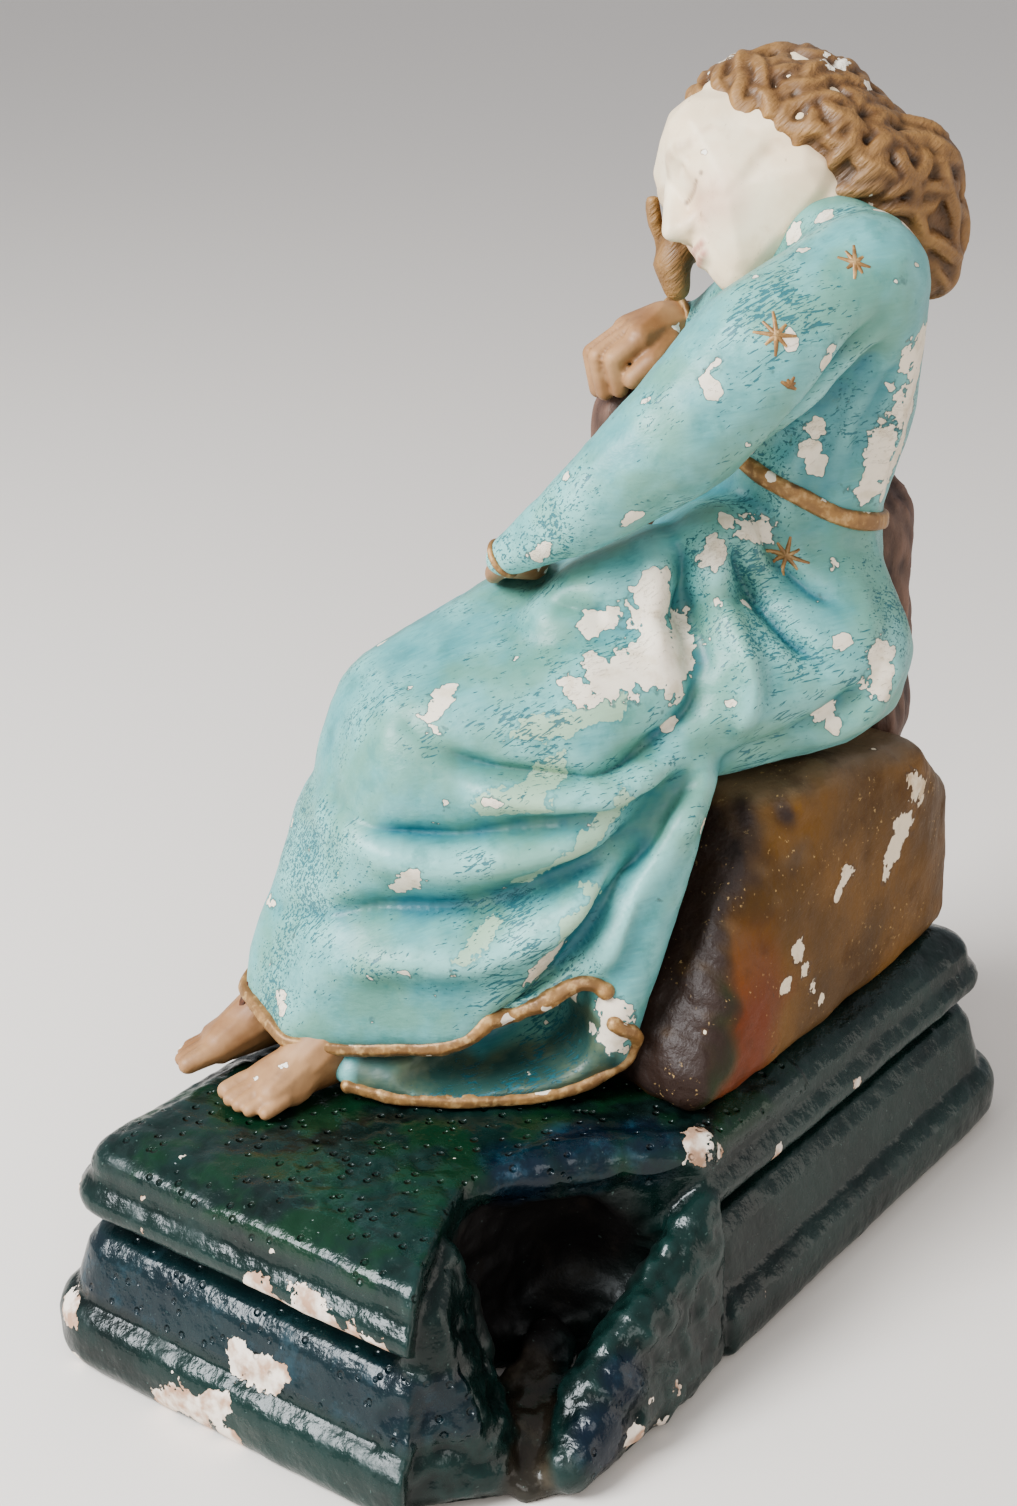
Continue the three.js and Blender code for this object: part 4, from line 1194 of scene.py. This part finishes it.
# ---- rock seat ----
def rock():
    bm = bmesh.new()
    add_hull(bm, [(-20, -58, 96, 11), (-22, -75, 98, 12), (60, -75, 98, 12), (158, -71, 98, 12),
                  (160, 46, 98, 12), (-20, 44, 98, 12), (30, -60, 181, 12), (60, -72, 184, 12), (118, -75, 176, 12),
                  (154, -70, 148, 12), (156, 38, 150, 12), (120, 44, 178, 12), (32, 44, 180, 12)], on_plinth)
    add_hull(bm, [(0, -64, 104, 12), (34, -70, 150, 14), (38, -40, 160, 20), (-10, -30, 100, 16)], on_plinth)
    add_hull(bm, [(40, -72, 184, 9), (100, -74, 182, 9), (90, 40, 184, 9), (40, 40, 184, 9)], on_plinth)
    piece = fuse(as_object("ochre_rock", bm), 2.0, 10)
    skin = Skin(piece)
    floor = skin.co[:, 2] > PLINTH_TOP + 2
    rough = np.clip((40 - skin.co[:, 0]) / 40, 0.25, 1)
    skin.push(floor * (1.9 * skin.wobble(42, 2) + rough * 1.6 * skin.wobble(15, 6) + 0.25 * skin.wobble(6, 8)))
    shaded(skin, 1.6, 14)
    x, y, z = skin.co.T
    near = np.clip(-skin.normal[:, 1] * 1.6, 0, 1)
    blur = skin.wobble(20, 9)
    skin.store("grey", np.clip((skin.normal[:, 2] - 0.35 + 0.25 * blur) * 2, 0, 1))
    skin.store("rust", near * np.clip(1.5 - np.abs(x + 6 + (z - 100) * -0.1 - 8 * blur) / 18, 0, 1)
               * np.clip((156 - z) / 34, 0, 1))
    skin.store("moss", near * np.clip(1.5 - np.abs(x + 28 - (z - 100) * 0.35 - 7 * blur) / 7, 0, 1) * 0.9)
    skin.store("shade", np.clip((-skin.normal[:, 0] - 0.36 + 0.3 * blur) * 2.4, 0, 1))
    skin.store("loss", fielded(skin, [
        (116, -89, 168, 9), (110, -89, 156, 8), (104, -89, 146, 6), (98, -89, 138, 4), (62, -87, 150, 5),
        (58, -87, 146, 3), (30, -86, 132, 4), (34, -86, 124, 4), (20, -86, 122, 3), (40, -87, 112, 4),
        (46, -87, 106, 3), (10, -86, 100, 3), (118, -88, 150, 3)], on_plinth))
    finish_piece(piece, ROCK, "ochre_rock", "rock_seat")


rock()


# ---- stump behind the back ----
def stump():
    bm = bmesh.new()
    add_hull(bm, [(34, -70, 184, 22), (-30, -66, 184, 22), (36, -76, 306, 14), (30, -78, 322, 9),
                  (-8, -78, 312, 13)], at)
    add_hull(bm, [(-30, -66, 184, 22), (-8, -78, 312, 13), (-54, -38, 268, 16), (-50, -30, 184, 20)], at)
    piece = fuse(as_object("leaning_stump", bm), 2.0, 8)
    skin = Skin(piece)
    bark = np.array([noise.fractal(Vector((p[0] / 12, p[1] / 12, p[2] / 46)), 0.8, 2.0, 3) for p in skin.co])
    skin.push(3.2 * bark + 1.6 * skin.wobble(22, 5))
    shaded(skin, 1.8, 12)
    skin.store("loss", fielded(skin, [(60, -60, 196, 4)], on_plinth))
    finish_piece(piece, STUMP, "brown_rock", "rock_stump")


stump()


# ---- moulded plinth with its grotto ----
CORNER = 30
BANDS = [(5, 0, 2, 2), (2, 1.5, 0, 6), (0, 5.5, 0, 17), (0, 16.5, 2, 21), (2, 20.5, 5, 24), (11, 23, 11, 28),
         (8, 27.5, 9.5, 33), (9.5, 32.5, 13, 44), (13, 43.5, 18, 50), (24, 49, 24, 60.5), (16, 58.5, 11, 62),
         (11, 61.5, 10, 67), (10, 66.5, 13, 71), (20, 70, 20, 74), (15, 73.5, 16, 79), (16, 78.5, 20, 83.5),
         (20, 83, 29, 87)]


def add_band(bm, low_inset, low, high_inset, high):
    """One step of the moulding: the hull of its four round corners at two heights."""
    part = bmesh.new()
    for inset, height in ((low_inset, low), (high_inset, high)):
        for x in (-1, 1):
            for y in (-1, 1):
                spot = on_plinth(x * (HALF_LENGTH - CORNER), y * (HALF_WIDTH - CORNER), height)
                bmesh.ops.create_circle(part, segments=32, radius=(CORNER - inset) * MM,
                                        matrix=Matrix.Translation(spot))
    hulled_into(bm, part)


def cutter(name, hulls):
    bm = bmesh.new()
    for balls in hulls:
        add_hull(bm, balls, on_plinth)
    return fuse(as_object(name, bm), 2.5)


def slab(points, low, high):
    """Balls up and down over a plan of points: a wall of the cut."""
    return [(x, y, z, 2) for x, y in points for z in (low, high)]


GROTTO_CUT = [
    slab([(-215, -82), (-176, -66), (-124, -43), (-106, -38), (-92, -52), (-86, -72), (-90, -140), (-215, -140)],
         -20, 110),
    slab([(-108, -42), (-84, -60), (-62, -80), (-46, -96), (-46, -140), (-130, -140)], -20, 110),
    [(-130, -46, 34, 12), (-100, -42, 36, 16), (-72, -56, 34, 14), (-66, -82, 36, 12), (-128, -92, 30, 18),
     (-104, -42, 58, 12), (-76, -60, 58, 12)],
]
GROTTO_ROCKS = [
    [(-176, -60, 9, 9), (-166, -68, 8, 9), (-156, -80, 7, 7), (-162, -58, 66, 8), (-142, -48, 74, 7),
     (-152, -60, 40, 9), (-140, -58, 34, 7)],
    [(-152, -82, 7, 7), (-146, -64, 34, 6), (-134, -50, 58, 6), (-140, -68, 12, 9)],
    [(-137, -99, 9, 10), (-100, -100, 10, 11), (-54, -98, 9, 11), (-56, -96, 58, 8), (-48, -95, 64, 7),
     (-70, -93, 50, 8), (-102, -95, 34, 9), (-124, -93, 17, 10)],
    [(-150, -90, 3, 5), (-136, -98, 3, 5), (-116, -66, 16, 9), (-94, -60, 20, 9), (-124, -80, 7, 7)],
]
GROTTO_LIP = [(-114, -34, 79, 6), (-95, -40, 80, 8), (-75, -53, 79, 11), (-57, -69, 79, 11), (-38, -86, 79, 8)]
GROTTO_BACK = [(x, y, z, 7) for x, y in ((-126, -25), (-88, -24), (-48, -38)) for z in (8, 77)]


def plinth():
    bm = bmesh.new()
    for band in BANDS:
        add_band(bm, *band)
    body = fuse(as_object("plinth_body", bm), 1.82)
    carve(body, cutter("grotto_cutter", GROTTO_CUT))
    bm = bmesh.new()
    bm.from_mesh(body.data)
    for balls in GROTTO_ROCKS + [GROTTO_BACK]:
        add_hull(bm, balls, on_plinth)
    add_chain(bm, GROTTO_LIP, on_plinth)
    bpy.data.objects.remove(body)
    piece = fuse(as_object("moulded_plinth", bm), 1.82, 1)
    skin = Skin(piece)
    x, y, z = skin.co.T
    outside = z > 1.5
    rocky = np.clip(fielded(skin, [(-118, -66, 38, 54), (-156, -66, 26, 34), (-90, -96, 30, 46), (-60, -98, 40, 30)],
                            on_plinth) * 4, 0, 1) * (z < 86.5)
    skin.smooth(5, rocky)
    pad = np.clip((z - 81) / 4, 0, 1) * (x < 30)
    skin.push(outside * (0.5 * skin.wobble(34, 2) + 0.3 * skin.wobble(10, 3) + rocky * (2.6 * skin.wobble(17, 5) + 1.1 * skin.wobble(6, 7))
                         + pad * (0.5 * skin.wobble(9, 11) + 0.5 * skin.wobble(4.5, 12))))
    skin.co[:, 2] = np.clip(skin.co[:, 2], 0, None)
    skin.renew()
    hollow = [slab([(-38, -76), (-38, 76), (152, 76), (152, -76)], -30, 69),
              slab([(-156, -16), (-156, 76), (-38, 76), (-38, -16)], -30, 69)]
    carve(piece, cutter("hollow_cutter", hollow))
    skin = Skin(piece)
    shaded(skin, 1.0, 7)
    x, y, z = skin.co.T
    skin.store("pad", np.clip((z - 76) / 5, 0, 1) * (x < 30))
    skin.store("cave", np.clip(fielded(skin, [(-108, -44, 44, 40), (-80, -58, 46, 36)], on_plinth) * 3, 0, 1)
               * (z < 72))
    skin.store("ramp", np.clip(fielded(skin, [(-146, -88, 6, 14), (-130, -78, 12, 15), (-116, -66, 18, 13)],
                                         on_plinth) * 3, 0, 1) * 0.8)
    # Where the painted bluish reflection goes: the end's slope and spots on the grotto's lip and lobes.
    sheen = 0.55 * (x < -160) * np.clip((z - 26) / 4, 0, 1) * np.clip((52 - z) / 4, 0, 1)
    blue = np.clip(fielded(skin, [(-92, -44, 82, 17), (-70, -56, 84, 18), (-52, -72, 82, 16), (-128, -108, 18, 15),
                                  (-112, -106, 32, 12)], on_plinth) * 2.4, 0, 1)
    skin.store("blue", np.maximum(blue, sheen))
    skin.store("loss", fielded(skin, PLINTH_LOSSES, on_plinth))
    finish_piece(piece, PLINTH_PAINT, "green_plaster", "plinth_shell", "grotto_left_pier", "grotto_right_pier",
                 "grotto_back", "grotto_ramp", "grotto_lip", "moss_ground")


PLINTH_LOSSES = [
    (-180, 2, 62, 5), (-180, -8, 62, 8), (-180, -20, 62, 8), (-180, -31, 61, 7), (-180, -41, 61, 6),
    (-180, -50, 61, 5),
    (-182, 10, 30, 6), (-182, 2, 29, 6), (-181, -6, 32, 5), (-190, 32, 12, 7), (-190, 24, 9, 8), (-190, 14, 14, 7),
    (-190, 40, 4, 5), (-190, 10, 4, 6), (-186, 92, 20, 6), (-190, 86, 3, 3), (-176, 96, 66, 5), (-178, 92, 58, 4),
    (-184, 100, 36, 3), (-42, -88, 84, 7), (-34, -96, 80, 5), (0, -99, 64, 4), (-112, -110, 10, 5),
    (-96, -112, 4, 5), (-88, -108, 16, 4), (178, -84, 66, 3), (60, -99, 66, 3), (-150, -62, 40, 3),
]


plinth()


# ---- what is cast inside: rods, pins, laths and scrim ----
def inner_parts():
    finishes = {"_rod": IRON, "_wire": IRON, "_pin": IRON, "_lath": LATH, "_dowel": LATH, "_wad": SCRIM}
    for node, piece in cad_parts.items():
        for ending, material in finishes.items():
            if node.endswith(ending):
                piece.data.materials.clear()
                piece.data.materials.append(material)


inner_parts()


# ---- floor, backdrop, light and camera ----
def studio():
    floor = bmesh.new()
    bmesh.ops.create_grid(floor, x_segments=1, y_segments=1, size=6.0)
    ground = as_object("floor", floor)
    material, nodes, shader = new_material("pale_floor")
    nodes.feed(shader["Base Color"], colour(236, 228, 220))
    nodes.feed(shader["Roughness"], 0.6)
    ground.data.materials.append(material)
    world = bpy.data.worlds.new("studio")
    bpy.context.scene.world = world
    world.use_nodes = True
    world.node_tree.nodes["Background"].inputs[0].default_value = (0.80, 0.82, 0.86, 1)
    world.node_tree.nodes["Background"].inputs[1].default_value = 0.6
    for name, place, target, power, size, tint in (
            ("window_light", (-1.5, 0.7, 1.5), (0, 0, 0.25), 82, 1.1, (0.93, 0.97, 1.0)),
            ("front_light", (-1.6, -1.3, 1.3), (0, 0, 0.2), 13, 1.2, (1.0, 0.99, 0.97)),
            ("warm_fill", (0.9, -1.6, 0.5), (0, 0, 0.2), 7, 1.2, (1.0, 0.92, 0.83))):
        lamp = bpy.data.lights.new(name, "AREA")
        lamp.energy, lamp.size, lamp.color = power, size, tint
        held = bpy.data.objects.new(name, lamp)
        held.location = place
        held.rotation_euler = (Vector(target) - Vector(place)).to_track_quat("-Z", "Y").to_euler()
        bpy.context.scene.collection.objects.link(held)


def camera():
    lens = bpy.data.cameras.new("camera")
    lens.lens, lens.sensor_width, lens.clip_start = 57.85, 36, 0.01
    held = bpy.data.objects.new("camera", lens)
    held.location = (-0.687, -0.479, 0.550)
    held.rotation_euler = (math.radians(67.4), 0, math.radians(-53.6))
    bpy.context.scene.collection.objects.link(held)
    bpy.context.scene.camera = held
    bpy.context.scene.view_settings.look = "AgX - Medium High Contrast"


studio()
camera()

bpy.context.view_layer.update()
